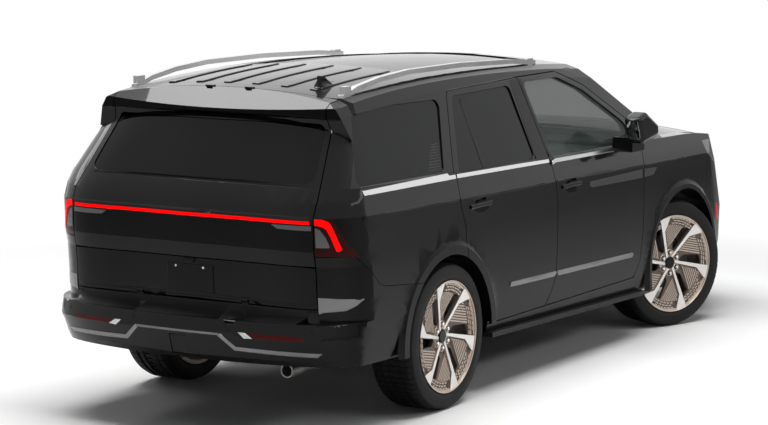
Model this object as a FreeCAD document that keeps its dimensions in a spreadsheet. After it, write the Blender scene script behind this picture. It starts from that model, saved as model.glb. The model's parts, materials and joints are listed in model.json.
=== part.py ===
"""Full-size four-door suv, built as separate panels, glass, frame, suspension and wheels.

Frame of the part: +X forward, +Y left, +Z up, millimetres, origin on the ground under its middle.
The car stands with its front wheels steered to the right.
"""
import FreeCAD, Part
import math
import os
import types

import Sketcher

Vector = FreeCAD.Vector
os.makedirs("parts", exist_ok=True)
doc = FreeCAD.newDocument("full_size_suv")

# Driving dimensions in millimetres and degrees; each one is a cell of the sheet.
DIMENSIONS = {
    "overall_length": 5334,
    "roof_height": 1905,
    "body_width": 2030,
    "sill_height": 345,
    "wheelbase": 3112,
    "front_axle_x": 1697,
    "axle_height": 419,
    "wheel_track": 1709,
    "tyre_diameter": 838,
    "tyre_width": 285,
    "rim_diameter": 642,
    "rim_seat_radius": 305,
    "rim_lip": 12,
    "rim_tuck": 2,
    "rim_wall": 20,
    "tyre_wall": 98,
    "tyre_shoulder": 11,
    "hub_radius": 78,
    "spoke_face": 104,
    "spoke_depth": 26,
    "spoke_width": 58,
    "spoke_sweep": 26,
    "disc_radius": 175,
    "disc_hat_radius": 66,
    "disc_face": 26,
    "disc_thickness": 32,
    "steer_angle": -21.8,
    "kingpin_spacing": 1580,
    "front_arch_radius": 492,
    "rear_arch_radius": 470,
    "flare_radius": 566,
    "flare_height": 9,
    "door_thickness": 110,
    "pillar_thickness": 60,
    "frame_thickness": 45,
    "fender_thickness": 60,
    "hood_thickness": 40,
    "gate_thickness": 110,
    "wheelhouse_wall": 12,
    "glass_thickness": 6,
    "glass_inset": 7,
    "shut_gap": 6,
    "flange_depth": 24,
    "flange_width": 16,
    "seat_gap": 0.3,
    "windscreen_angle": 29.5,
    "windscreen_bow": 100,
    "floor_height": 560,
    "floor_thickness": 25,
    "sill_inner_y": 820,
    "firewall_x": 1170,
    "overrun": 400,
    "rail_spacing": 860,
    "rail_width": 80,
    "kingpin_reach": 120,
    "kingpin_radius": 25,
    "ball_joint_height": 24,
    "arm_spread": 130,
    "arm_radius": 19,
    "axle_radius": 38,
    "axle_case_radius": 105,
    "spring_radius": 55,
    "engine_length": 620,
    "engine_width": 560,
    "engine_depth": 560,
    "seat_width": 540,
    "steering_wheel_radius": 190,
    "steering_rim_radius": 16,
    "pipe_radius": 32,
    "board_thickness": 30,
    "roof_rail_width": 34,
    "roof_rail_height": 28,
    "screen_margin": 70,
    "hinge_pin_radius": 4,
    "hinge_clearance": 0.3,
    "hinge_lug_radius": 9,
    "hood_arm_length": 95,
    "cowl_gap": 18,
    "gate_roll_radius": 15,
    "receiver_width": 64,
    "receiver_wall": 6.4,
    "receiver_height": 487,
    "hitch_pin_radius": 8.2,
    "handle_length": 250,
    "handle_height": 24,
    "handle_depth": 14,
    "cup_radius": 62,
    "cup_height": 76,
    "cup_depth": 14,
    "strip_depth": 3,
}

sheet = doc.addObject("Spreadsheet::Sheet", "sizes")
for row, (name, value) in enumerate(DIMENSIONS.items(), 1):
    sheet.set(f"A{row}", name)
    sheet.set(f"B{row}", str(value))
    sheet.setAlias(f"B{row}", name)
doc.recompute()
s = types.SimpleNamespace(**{name: float(sheet.get(name)) for name in DIMENSIONS})

HALF_LENGTH = s.overall_length / 2
HALF_WIDTH = s.body_width / 2
REAR_AXLE_X = s.front_axle_x - s.wheelbase
# half width of the doors' skin; the wheel arch flares stand proud of it
SKIN = HALF_WIDTH - s.flare_height
FAR = s.overall_length
parts = {}


def spline(points, stations):
    """A smooth curve through the points; equal stations keep the surfaces between sections simple."""
    curve = Part.BSplineCurve()
    curve.interpolate(Points=points, Parameters=stations)
    return curve.toShape()


def bend(start, middle, end):
    """A smooth bend through three points."""
    return spline([start, middle, end], BEND_STATIONS)


def arc(start, middle, end):
    """The edge of an arc through three points."""
    return Part.Arc(start, middle, end).toShape()


def opposite(point):
    """A point mirrored to the other side of the car."""
    return Vector(point.x, -point.y, point.z)


def mirrored(shape):
    """A shape mirrored to the other side of the car."""
    return shape.mirror(Vector(), Vector(0, 1, 0))


def moved(shape, x=0, y=0, z=0):
    """A copy of a shape, moved along the axes."""
    result = shape.copy()
    result.translate(Vector(x, y, z))
    return result


def block(x_range, y_range, z_range):
    """A box between pairs of places along x, y and z."""
    low = Vector(x_range[0], y_range[0], z_range[0])
    return Part.makeBox(x_range[1] - low.x, y_range[1] - low.y, z_range[1] - low.z, low)


def side_prism(shares, y_range=None, grow=0, radius=0):
    """A prism across the car from an outline in side view, given as shares of half length and height."""
    points = [Vector(x * HALF_LENGTH, 0, z * s.roof_height) for x, z in shares]
    return extruded(points, Vector(0, 1, 0), y_range or (-FAR, FAR), grow, radius)


def rear_prism(shares, x_range, grow=0, radius=0):
    """A prism along the car from an outline in rear view, given as shares of skin half width and height."""
    points = [Vector(0, y * SKIN, z * s.roof_height) for y, z in shares]
    return extruded(points, Vector(1, 0, 0), x_range, grow, radius)


def extruded(points, direction, reach, grow, radius):
    """A closed outline, grown and rounded as asked, pushed along a direction."""
    face = Part.Face(Part.makePolygon(points + points[:1]))
    if grow:
        face = face.makeOffset2D(grow, 2)
    if radius:
        face = rounded(face, radius)
    low, high = reach
    return moved(face, *(direction * low)).extrude(direction * (high - low))


def rounded(face, radius):
    """The flat face with each corner of its outline turned into an arc."""
    vertices = [v.Point for v in face.OuterWire.OrderedVertexes]
    count = len(vertices)
    starts, ends, arcs = [], [], []
    for i, corner in enumerate(vertices):
        before, after = vertices[i - 1] - corner, vertices[(i + 1) % count] - corner
        half = before.getAngle(after) / 2
        reach = min(radius / math.tan(half), before.Length * 0.45, after.Length * 0.45)
        first = corner + before.normalize() * reach
        last = corner + after.normalize() * reach
        inward = (first + last) * 0.5 - corner
        depth = reach / math.cos(half) - reach * math.tan(half)
        middle = corner + inward.normalize() * depth
        starts.append(first)
        ends.append(last)
        arcs.append(arc(first, middle, last))
    edges = []
    for i in range(count):
        edges.append(arcs[i])
        edges.append(Part.makeLine(ends[i], starts[(i + 1) % count]))
    return Part.Face(Part.Wire(Part.__sortEdges__(edges)))


def add(name, shape):
    """Stores a shape as an object of the document, with its own label."""
    item = doc.addObject("Part::Feature", name)
    item.Label = name
    item.Shape = shape
    parts[name] = item
    return item


# Body skin

# width and height of the flank from the sill to the belt, at the middle of the car
FLANK_SHARES = [
    (0.9672, 0.1811), (0.9851, 0.2283), (1, 0.3832), (0.998, 0.4961), (0.9911, 0.6089),
    (0.9563, 0.6856),
]
FLANK_STATIONS = (0, 0.1, 0.45, 0.72, 1)
BEND_STATIONS = (0, 0.5, 1)
# rise of every line of the flank towards the tail
FLANK_RISE_SHARE = 0.0247


def flank_wire(x, inset, drop, straight):
    """One closed section across the body below the windows."""
    rise = -FLANK_RISE_SHARE * x
    side = [Vector(x, inset - y * SKIN, z * s.roof_height + rise) for y, z in FLANK_SHARES]
    side[-1].z -= drop
    lines = [Part.makeLine(opposite(side[0]), side[0])]
    if straight:
        lines += [Part.makeLine(a, b) for a, b in zip(side[:-2], side[1:-1])]
    else:
        lines.append(spline(side[:-1], FLANK_STATIONS))
    lines.append(Part.makeLine(side[-2], side[-1]))
    others = [edge.mirror(Vector(), Vector(0, 1, 0)) for edge in lines[1:]]
    lines.append(Part.makeLine(side[-1], opposite(side[-1])))
    return Part.Wire(Part.__sortEdges__(lines + others))


def flanks(inset=0, drop=0):
    """The lower body as one long prism, its lines rising to the tail."""
    reach = HALF_LENGTH + s.shut_gap
    face = Part.Face(flank_wire(reach, inset, drop, inset > 0))
    return face.extrude(Vector(-2 * reach, 0, 2 * reach * FLANK_RISE_SHARE))


# side view of the fender's top, from the windscreen to the nose
FENDER_SHARES = [
    (0.4124, 0.673), (0.5624, 0.6677), (0.7124, 0.6588), (0.8624, 0.6341), (1.0124, 0.5801),
]
FENDER_STATIONS = (0, 0.25, 0.5, 0.75, 1)
# station, half width, foot and crown of the hood
HOOD_SHARES = (
    (0.4687, 0.8996, 0.664, 0.6824),
    (0.5624, 0.8996, 0.6625, 0.6866),
    (0.7124, 0.8996, 0.6535, 0.6908),
    (0.8624, 0.8897, 0.6299, 0.6667),
    (1.0124, 0.8648, 0.5748, 0.6115),
)


def fender_top(drop=0):
    """Everything below the curve of the fender's top, ahead of the windows."""
    top = [Vector(x * HALF_LENGTH, 0, z * s.roof_height - drop) for x, z in FENDER_SHARES]
    low = -s.overrun
    first, last = Vector(top[0].x, 0, low), Vector(top[-1].x, 0, low)
    wire = Part.Wire([spline(top, FENDER_STATIONS), Part.makeLine(top[-1], last),
                      Part.makeLine(last, first), Part.makeLine(first, top[0])])
    return moved(Part.Face(wire), y=-HALF_WIDTH).extrude(Vector(0, s.body_width, 0))


def hood_crown(drop=0):
    """The hood's crowned outer form, lowered by a drop."""
    wires = []
    for x, y, foot, crown in HOOD_SHARES:
        x, y = x * HALF_LENGTH, y * SKIN
        foot, crown = foot * s.roof_height - drop, crown * s.roof_height - drop
        right, low = Vector(x, -y, foot), Vector(x, -y, foot - s.hood_thickness)
        wires.append(Part.Wire([
            Part.makeLine(opposite(low), low),
            Part.makeLine(low, right),
            bend(right, Vector(x, 0, crown), opposite(right)),
            Part.makeLine(opposite(right), opposite(low)),
        ]))
    return Part.makeLoft(wires, True, False, False, 3)


def lower_body(inset=0, drop=0):
    """The body below its belt, drawn in by an inset and lowered by a drop."""
    body = flanks(inset, drop)
    start = FENDER_SHARES[0][0] * HALF_LENGTH
    rear = body.common(block((-FAR, start), (-FAR, FAR), (-FAR, FAR)))
    front = body.common(fender_top(drop))
    return rear.fuse([front, hood_crown(drop)])


# station, half width at the belt, roof height of the upper body
UPPER_SHARES = (
    (-0.9186, 0.9324, 0.948),
    (-0.7949, 0.9463, 0.9717),
    (-0.5999, 0.9503, 0.9927),
    (-0.375, 0.9543, 0.9995),
    (-0.15, 0.9553, 0.9953),
    (0.075, 0.9523, 0.9827),
    (0.3375, 0.9423, 0.9528),
    (0.6374, 0.9195, 0.9029),
)
UPPER_FOOT_SHARE = 0.645
BELT_SHARE = 0.682
LEAN_SHARE = 0.36
ROOF_EDGE_SHARES = (0.063, 0.035, 0.021)
ROOF_RAIL_SHARE = 0.700
ROOF_TURN_SHARE = 0.014


def upper_section(station, inset, drop):
    """One closed section across the windows and the roof."""
    x_share, width, roof = station
    x = x_share * HALF_LENGTH
    top = roof * s.roof_height
    foot_z = UPPER_FOOT_SHARE * s.roof_height
    belt_z = BELT_SHARE * s.roof_height
    edge_z, _, rail_z = (top - share * s.roof_height for share in ROOF_EDGE_SHARES)

    def side(z):
        """A point of the window's leaning side at a height."""
        return Vector(x, inset - width * SKIN + LEAN_SHARE * (z - belt_z), z)

    edge = side(edge_z) - Vector(0, 0, drop)
    rail = Vector(x, inset * 0.5 - ROOF_RAIL_SHARE * SKIN, rail_z - drop)
    turn = (edge + rail) * 0.5 + Vector(0, -ROOF_TURN_SHARE * SKIN, ROOF_TURN_SHARE * s.roof_height / 2)
    foot = side(foot_z)
    crown = Vector(x, 0, top - drop)
    return Part.Wire([
        Part.makeLine(opposite(foot), foot),
        Part.makeLine(foot, edge),
        Part.makeLine(edge, turn),
        Part.makeLine(turn, rail),
        bend(rail, crown, opposite(rail)),
        Part.makeLine(opposite(rail), opposite(turn)),
        Part.makeLine(opposite(turn), opposite(edge)),
        Part.makeLine(opposite(edge), opposite(foot)),
    ])


def upper_body(inset=0, drop=0):
    """The glasshouse and roof, drawn in by an inset and lowered by a drop."""
    return Part.makeLoft([upper_section(row, inset, drop) for row in UPPER_SHARES], True, False, False, 3)


# height, tail centre, tail bow, tail width scale, nose centre, nose bow of the outline from above
PLAN_SHARES = (
    (0.1312, -0.9336, 0.0105, 1, 0.9374, 0.0712),
    (0.252, -0.9385, 0.0105, 1, 0.9918, 0.0712),
    (0.378, -0.9449, 0.0105, 1, 1, 0.0724),
    (0.4987, -0.9494, 0.0097, 1, 0.9936, 0.0919),
    (0.5428, -0.9561, 0.009, 1, 0.988, 0.0956),
    (0.6378, -0.9569, 0.0082, 1, 0.9618, 0.1057),
    (0.6772, -0.9479, 0.0112, 1, 0.9374, 0.1125),
    (0.7171, -0.9265, 0.015, 1, 0.9074, 0.1125),
    (0.8924, -0.8481, 0.03, 0.885, 0.7874, 0.1125),
    (1.0289, -0.7874, 0.0337, 0.8, 0.7124, 0.1125),
)
# how far along the bow and across the car each point of a rounded end lies
TAIL_BOW_SHARES = ((0, 0), (0.25, 0.420), (1, 0.780))
TAIL_CORNER_SHARES = [(0.0262, 0.8996), (0.0712, 0.9791), (0.1612, 1.0338)]
END_TURN_SHARE = 1.6
NOSE_BOW_SHARES = ((0, 0), (0.12, 0.420), (0.45, 0.720), (1, 0.900))
NOSE_CORNER_SHARES = [(0.0637, 0.9791), (0.1612, 1.0338)]


def end_curve(centre, bow, bow_shares, corner_shares, scale, z, sense):
    """One rounded end of the outline from above; sense is +1 at the nose and -1 at the tail."""
    half = [Vector(centre - sense * share * bow, y * SKIN * scale, z) for share, y in bow_shares]
    for back, y in corner_shares:
        half.append(Vector(centre - sense * (bow + back * HALF_LENGTH), y * SKIN * scale, z))
    reach = [y for _, y in bow_shares] + [y + back * END_TURN_SHARE for back, y in corner_shares]
    stations = [1 - r / reach[-1] for r in reversed(reach)] + [1 + r / reach[-1] for r in reach[1:]]
    return spline([p for p in reversed(half)] + [opposite(p) for p in half[1:]], stations)


def plan_wire(row):
    """The body's outline in plan at one height, closed over nose and tail."""
    z, tail, tail_bow, scale, nose, nose_bow = row
    z = z * s.roof_height
    rear = end_curve(tail * HALF_LENGTH, tail_bow * HALF_LENGTH, TAIL_BOW_SHARES, TAIL_CORNER_SHARES,
                     scale, z, -1)
    front = end_curve(nose * HALF_LENGTH, nose_bow * HALF_LENGTH, NOSE_BOW_SHARES, NOSE_CORNER_SHARES, 1,
                      z, 1)
    return ring(rear, front)


def ring(rear, front):
    """A closed wire from two curves that both run from left to right."""
    r_left, r_right = rear.firstVertex().Point, rear.lastVertex().Point
    f_left, f_right = front.firstVertex().Point, front.lastVertex().Point
    return Part.Wire([rear, Part.makeLine(r_right, f_right), front, Part.makeLine(f_left, r_left)])


def ends():
    """A solid from below to above the car that gives the nose and the tail their shape."""
    return Part.makeLoft([plan_wire(row) for row in PLAN_SHARES], True, True)


# Windscreen, tail lip and rear bumper volumes

WINDSCREEN_FOOT_SHARES = [(0.5767, 0.6772)]
LIP_SHARES = [
    (-0.7949, 0.8399), (-0.7949, 0.9722), (-0.8579, 0.9181), (-0.8579, 0.9087), (-0.8384, 0.8987),
    (-0.8249, 0.8399),
]
LIP_PLAN_SHARES = (-0.8579, 0.030)
BUMPER_SHARES = (
    (0.1785, -0.9599, 0.0412, 1, 0, 0),
    (0.231, -0.9869, 0.0442, 1, 0, 0),
    (0.295, -1, 0.0337, 1, 0, 0),
    (0.3391, -0.9963, 0.0382, 1, 0, 0),
)


def windscreen_cut(back, height):
    """Everything behind the windscreen's surface, moved back by a distance."""
    foot_x = WINDSCREEN_FOOT_SHARES[0][0] * HALF_LENGTH - back
    foot_z = WINDSCREEN_FOOT_SHARES[0][1] * s.roof_height
    slope = math.tan(math.radians(s.windscreen_angle))
    half = SKIN
    bow = s.windscreen_bow
    low = foot_z - height
    x = foot_x + height / slope
    front = arc(Vector(x - bow, half, low), Vector(x, 0, low), Vector(x - bow, -half, low))
    tail_x = x - FAR
    wire = Part.Wire([
        front,
        Part.makeLine(Vector(x - bow, -half, low), Vector(tail_x, -half, low)),
        Part.makeLine(Vector(tail_x, -half, low), Vector(tail_x, half, low)),
        Part.makeLine(Vector(tail_x, half, low), Vector(x - bow, half, low)),
    ])
    rise = 2 * s.roof_height
    return Part.Face(wire).extrude(Vector(-rise / slope, 0, rise))


def tail_lip():
    """The lip at the top of the tail, bowed in plan as the glass below it."""
    centre, bow = (share * HALF_LENGTH for share in LIP_PLAN_SHARES)
    half = SKIN
    rear = arc(Vector(centre + bow, half, 0), Vector(centre, 0, 0), Vector(centre + bow, -half, 0))
    front = Part.makeLine(Vector(0, half, 0), Vector(0, -half, 0))
    plan = Part.Face(ring(rear, front)).extrude(Vector(0, 0, FAR))
    return side_prism(LIP_SHARES).common(plan)


def rear_bumper_ends():
    """The space that the rear bumper's plan encloses, lofted over its heights."""
    wires = []
    for z, centre, bow, scale, _, _ in BUMPER_SHARES:
        z = z * s.roof_height
        rear = end_curve(centre * HALF_LENGTH, bow * HALF_LENGTH, TAIL_BOW_SHARES, TAIL_CORNER_SHARES,
                         scale, z, -1)
        front = Part.makeLine(Vector(REAR_AXLE_X, HALF_WIDTH, z), Vector(REAR_AXLE_X, -HALF_WIDTH, z))
        wires.append(ring(rear, front))
    return Part.makeLoft(wires, True, True)


def across_cylinder(x, radius, inner_y, outer_y, side):
    """A cylinder along Y about an axle, from one distance off centre to another on one side."""
    low = min(side * inner_y, side * outer_y)
    return Part.makeCylinder(radius, outer_y - inner_y, Vector(x, low, s.axle_height), Vector(0, 1, 0))


def flare(x, side):
    """A low cone round a wheel arch, flat at the arch's rim and fading into the flank."""
    rim = s.flare_radius - s.flare_height * FLARE_SLOPE_SHARE
    low = SKIN - s.flare_height
    axis = Vector(0, side, 0)
    cone = Part.makeCone(s.flare_radius, rim, 2 * s.flare_height, Vector(x, side * low, s.axle_height),
                         axis)
    foot = (FLANK_SHARES[0][1] - FLANK_RISE_SHARE * x / s.roof_height) * s.roof_height
    return cone.common(block((-FAR, FAR), (-FAR, FAR), (foot, FAR)))


FLARE_SLOPE_SHARE = 5
FRONT_HOUSE_SHARE = 0.48
FRONT_LINER_SHARE = 0.70
REAR_HOUSE_SHARE = 0.69


def arches(extra=0, front_share=FRONT_HOUSE_SHARE):
    """The space of the four wheel houses, as solids to cut away."""
    spaces = []
    for side in (-1, 1):
        front_y = front_share * SKIN - extra
        rear_y = REAR_HOUSE_SHARE * SKIN - extra
        outer = SKIN + s.overrun
        spaces.append(across_cylinder(s.front_axle_x, s.front_arch_radius + extra, front_y, outer, side))
        spaces.append(across_cylinder(REAR_AXLE_X, s.rear_arch_radius + extra, rear_y, outer, side))
    return spaces


def outer_skin():
    """The closed outer form of the whole body."""
    plan = ends()
    lower = lower_body().common(plan)
    lower = lower.fuse(lower_body().common(rear_bumper_ends()))
    upper = upper_body()
    glasshouse = upper.common(plan).common(windscreen_cut(0, s.overrun))
    above_lip = side_prism(ABOVE_LIP_SHARES)
    glasshouse = glasshouse.cut(above_lip).fuse(upper.common(tail_lip()))
    body = lower.fuse([glasshouse] + [flare(x, side) for x in (s.front_axle_x, REAR_AXLE_X)
                                      for side in (-1, 1)])
    return body


ABOVE_LIP_SHARES = [
    (-0.7949, 0.9722), (-0.7949, 1.1549), (-1.0124, 1.1549), (-1.0124, 0.8929), (-0.8384, 0.8929),
]


def cabin_space():
    """The hollow of the cabin and the load space."""
    plan = ends()
    depth = s.door_thickness
    low_part = flanks(depth).common(moved(plan, x=s.gate_thickness))
    sill = block((-HALF_LENGTH, s.firewall_x), (-SKIN, SKIN), (s.floor_height, s.roof_height))
    under = block((-HALF_LENGTH, s.firewall_x), (-s.sill_inner_y, s.sill_inner_y), (0, s.roof_height))
    low_part = low_part.common(sill.fuse(under))
    frame = s.frame_thickness
    high_part = upper_body(frame, frame).common(moved(plan, x=frame)).common(windscreen_cut(2 * frame,
            s.overrun))
    high_part = high_part.cut(side_prism(ABOVE_LIP_SHARES, grow=frame))
    above = block((-FAR, FAR), (-FAR, FAR), (BELT_SHARE * s.roof_height - frame, FAR))
    space = low_part.fuse(high_part.common(above))
    bumper = flanks(s.fender_thickness).common(moved(rear_bumper_ends(), x=s.fender_thickness))
    bumper = bumper.common(block((-FAR, REAR_AXLE_X), (-FAR, FAR),
                                 (-FAR, BUMPER_SHARES[-1][0] * s.roof_height - s.frame_thickness)))
    return space.fuse(bumper).cut(arches(s.wheelhouse_wall)[1::2]).fuse(axle_space())


def axle_space():
    """The room under the floor that the rear axle crosses from wheel house to wheel house."""
    reach = s.rear_arch_radius + s.wheelhouse_wall
    half = REAR_HOUSE_SHARE * SKIN + s.wheelhouse_wall
    top = s.floor_height - s.floor_thickness
    return block((REAR_AXLE_X - reach, REAR_AXLE_X + reach), (-half, half), (0, top))


def engine_space():
    """The space under the hood and between the fenders."""
    plan = ends()
    space = lower_body(s.fender_thickness, s.hood_thickness).common(moved(plan,
            x=-NOSE_DEPTH_SHARE * HALF_LENGTH))
    keep = block((s.firewall_x, FAR), (-SKIN, SKIN), (0, FAR))
    return space.common(keep).cut(arches(s.wheelhouse_wall, FRONT_LINER_SHARE)[0::2])


NOSE_DEPTH_SHARE = 0.036


# Shut lines, as outlines in side view or in rear view

HOOD_OUTLINE_SHARES = (0.845, 0.600)
HOOD_FRONT_SHARES = [(0.9618, 0.6278)]
LAMP_SHARES = [
    (0.7649, 0.6278), (0.7844, 0.5774), (0.8736, 0.5171), (1.0874, 0.5066), (1.0874, 0.6236),
    (0.8999, 0.6257),
]
LAMP_INNER_SHARE = 0.640
BUMPER_LINE_SHARES = [
    (0.7822, 0.5732), (0.7762, 0.4724), (0.7312, 0.3675), (0.7312, 0.105), (1.1249, 0.105),
    (1.1249, 0.622), (0.9374, 0.6037),
]
GRILLE_SHARES = [(-0.5964, 0.5879), (0.5964, 0.5879), (0.5567, 0.336), (-0.5567, 0.336)]
FRONT_DOOR_SHARES = [
    (0.4199, 0.6656), (0.4124, 0.4661), (0.4072, 0.3669), (0.3937, 0.2703), (0.3656, 0.2194),
    (-0.0885, 0.2194), (-0.0637, 0.2593), (-0.0457, 0.3071), (-0.0394, 0.4268), (-0.0356, 0.5486),
    (-0.0506, 0.6703), (-0.0832, 0.9396), (0.1069, 0.9375), (0.2212, 0.8814), (0.375, 0.7622),
    (0.4192, 0.7265),
]
REAR_DOOR_SHARES = [
    (-0.0885, 0.2194), (-0.0637, 0.2593), (-0.0457, 0.3071), (-0.0394, 0.4268), (-0.0356, 0.5486),
    (-0.0506, 0.6703), (-0.0832, 0.9396), (-0.4027, 0.9333), (-0.4124, 0.916), (-0.4799, 0.694),
    (-0.4818, 0.611), (-0.4604, 0.5349), (-0.4593, 0.2194),
]
FRONT_WINDOW_SHARES = [
    (-0.036, 0.6814), (-0.0645, 0.9223), (0.1035, 0.9197), (0.2107, 0.8672), (0.36, 0.7517),
    (0.3787, 0.7307), (0.3712, 0.6698),
]
REAR_WINDOW_SHARES = [
    (-0.1125, 0.6908), (-0.132, 0.9197), (-0.39, 0.9165), (-0.4544, 0.7013), (-0.4518, 0.6982),
]
QUARTER_WINDOW_SHARES = [
    (-0.5144, 0.7097), (-0.4462, 0.9144), (-0.6374, 0.9197), (-0.8005, 0.9092), (-0.8616, 0.7171),
]
GATE_SHARES = [
    (-0.7903, 0.5008), (-0.7903, 0.6824), (-0.7753, 0.7171), (-0.7008, 0.8987), (-0.7008, 1.0289),
    (0.7008, 1.0289), (0.7008, 0.8987), (0.7753, 0.7171), (0.7903, 0.6824), (0.7903, 0.5008),
]
GATE_TOP_SHARES = [
    (-0.946, 0.4976), (-0.8999, 0.4808), (-0.8624, 0.4808), (-0.8624, 0.5249), (-0.946, 0.5249),
]
LOWER_GATE_SHARES = [(-0.7903, 0.379), (-0.7903, 0.4976), (0.7903, 0.4976), (0.7903, 0.379)]
REAR_WINDOW_BAND_SHARES = [(-0.7376, 0.7265), (-0.6759, 0.8861), (0.6759, 0.8861), (0.7376, 0.7265)]
GATE_FRONT_SHARES = [
    (-0.796, 1.1024), (-0.796, 0.9344), (-0.7499, 0.8871), (-0.7499, 0.4934), (-1.0874, 0.4934),
    (-1.0874, 1.1024),
]
LIGHT_BAR_SHARES = [(-0.7873, 0.6226), (-0.7873, 0.6373), (0.7873, 0.6373), (0.7873, 0.6226)]
CORNER_LAMP_SHARES = [
    (-0.8691, 0.5265), (-0.8819, 0.6383), (-1.0124, 0.6383), (-1.0124, 0.5302), (-0.9374, 0.5302),
]
BUMPER_REAR_SHARES = [
    (-0.6374, 0.4047), (-0.6802, 0.4094), (-0.8009, 0.4278), (-0.82, 0.4378), (-0.8901, 0.5281),
    (-1.0124, 0.5281), (-1.0124, 0.105), (-0.6374, 0.105),
]
ROOF_SHARES = [(0.285, 1.0289), (0.285, 0.8924), (-0.8024, 0.8924), (-0.8024, 1.0289)]
ROOF_HALF_SHARE = 0.716
ROOF_GLASS_SHARES = (-0.424, 0.150, 0.565)
LAMP_DEPTH = 70
GRILLE_DEPTH = 55
BAR_DEPTH = 26


# a cut leaves nothing smaller than this cubed that is worth keeping
SLIVER_SIDE_SHARE = 0.009


def carve(body, tool, wider):
    """The part of the body inside the tool, and the rest with a gap around it."""
    return body.common(tool), body.cut(wider)


def side_band(y_inner, side):
    """The band beyond an inner y on one side, from low to high."""
    low, high = sorted((side * y_inner, side * FAR))
    return (low, high)


def both(name, shape):
    """A right-hand piece and its mirror image, each a part of its own."""
    add(f"{name}_right", shape)
    add(f"{name}_left", mirrored(shape))


def pair(name, shape):
    """A right-hand piece and its mirror image in one part."""
    add(name, Part.makeCompound(solids(shape) + solids(mirrored(shape))))


def solids(shape):
    """The solids of a shape, without slivers left by a cut."""
    least = (SLIVER_SIDE_SHARE * s.overall_length) ** 3
    return [solid for solid in shape.Solids if solid.Volume > least]


def clean(shape):
    """A shape's solids, as one solid where there is only one."""
    found = solids(shape)
    return found[0] if len(found) == 1 else Part.makeCompound(found)


def door_leaf(shell, outline, side_range):
    """A door: its skin reaches the shut line, and its inner part is a step smaller all round."""
    skin = side_prism(outline, side_range, grow=-s.shut_gap / 2)
    inner = side_prism(outline, side_range, grow=-s.shut_gap / 2 - s.flange_width)
    layer = outer_layer(s.flange_depth)
    leaf = shell.common(skin)
    return leaf.common(layer).fuse(leaf.cut(layer).common(inner))


layers = {}


def outer_layer(depth):
    """What lies within a depth of the flanks' and windows' outer surface."""
    if depth not in layers:
        inside = flanks(depth).fuse(upper_body(depth * 0.75, depth * 0.75))
        layers[depth] = block((-FAR, FAR), (-FAR, FAR), (-FAR, FAR)).cut(inside)
    return layers[depth]


def glass_layer():
    """The layer in which the upper body's panes lie."""
    outer = upper_body(s.glass_inset, s.glass_inset)
    return outer.cut(upper_body(s.glass_inset + s.glass_thickness, s.glass_inset + s.glass_thickness))


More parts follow.
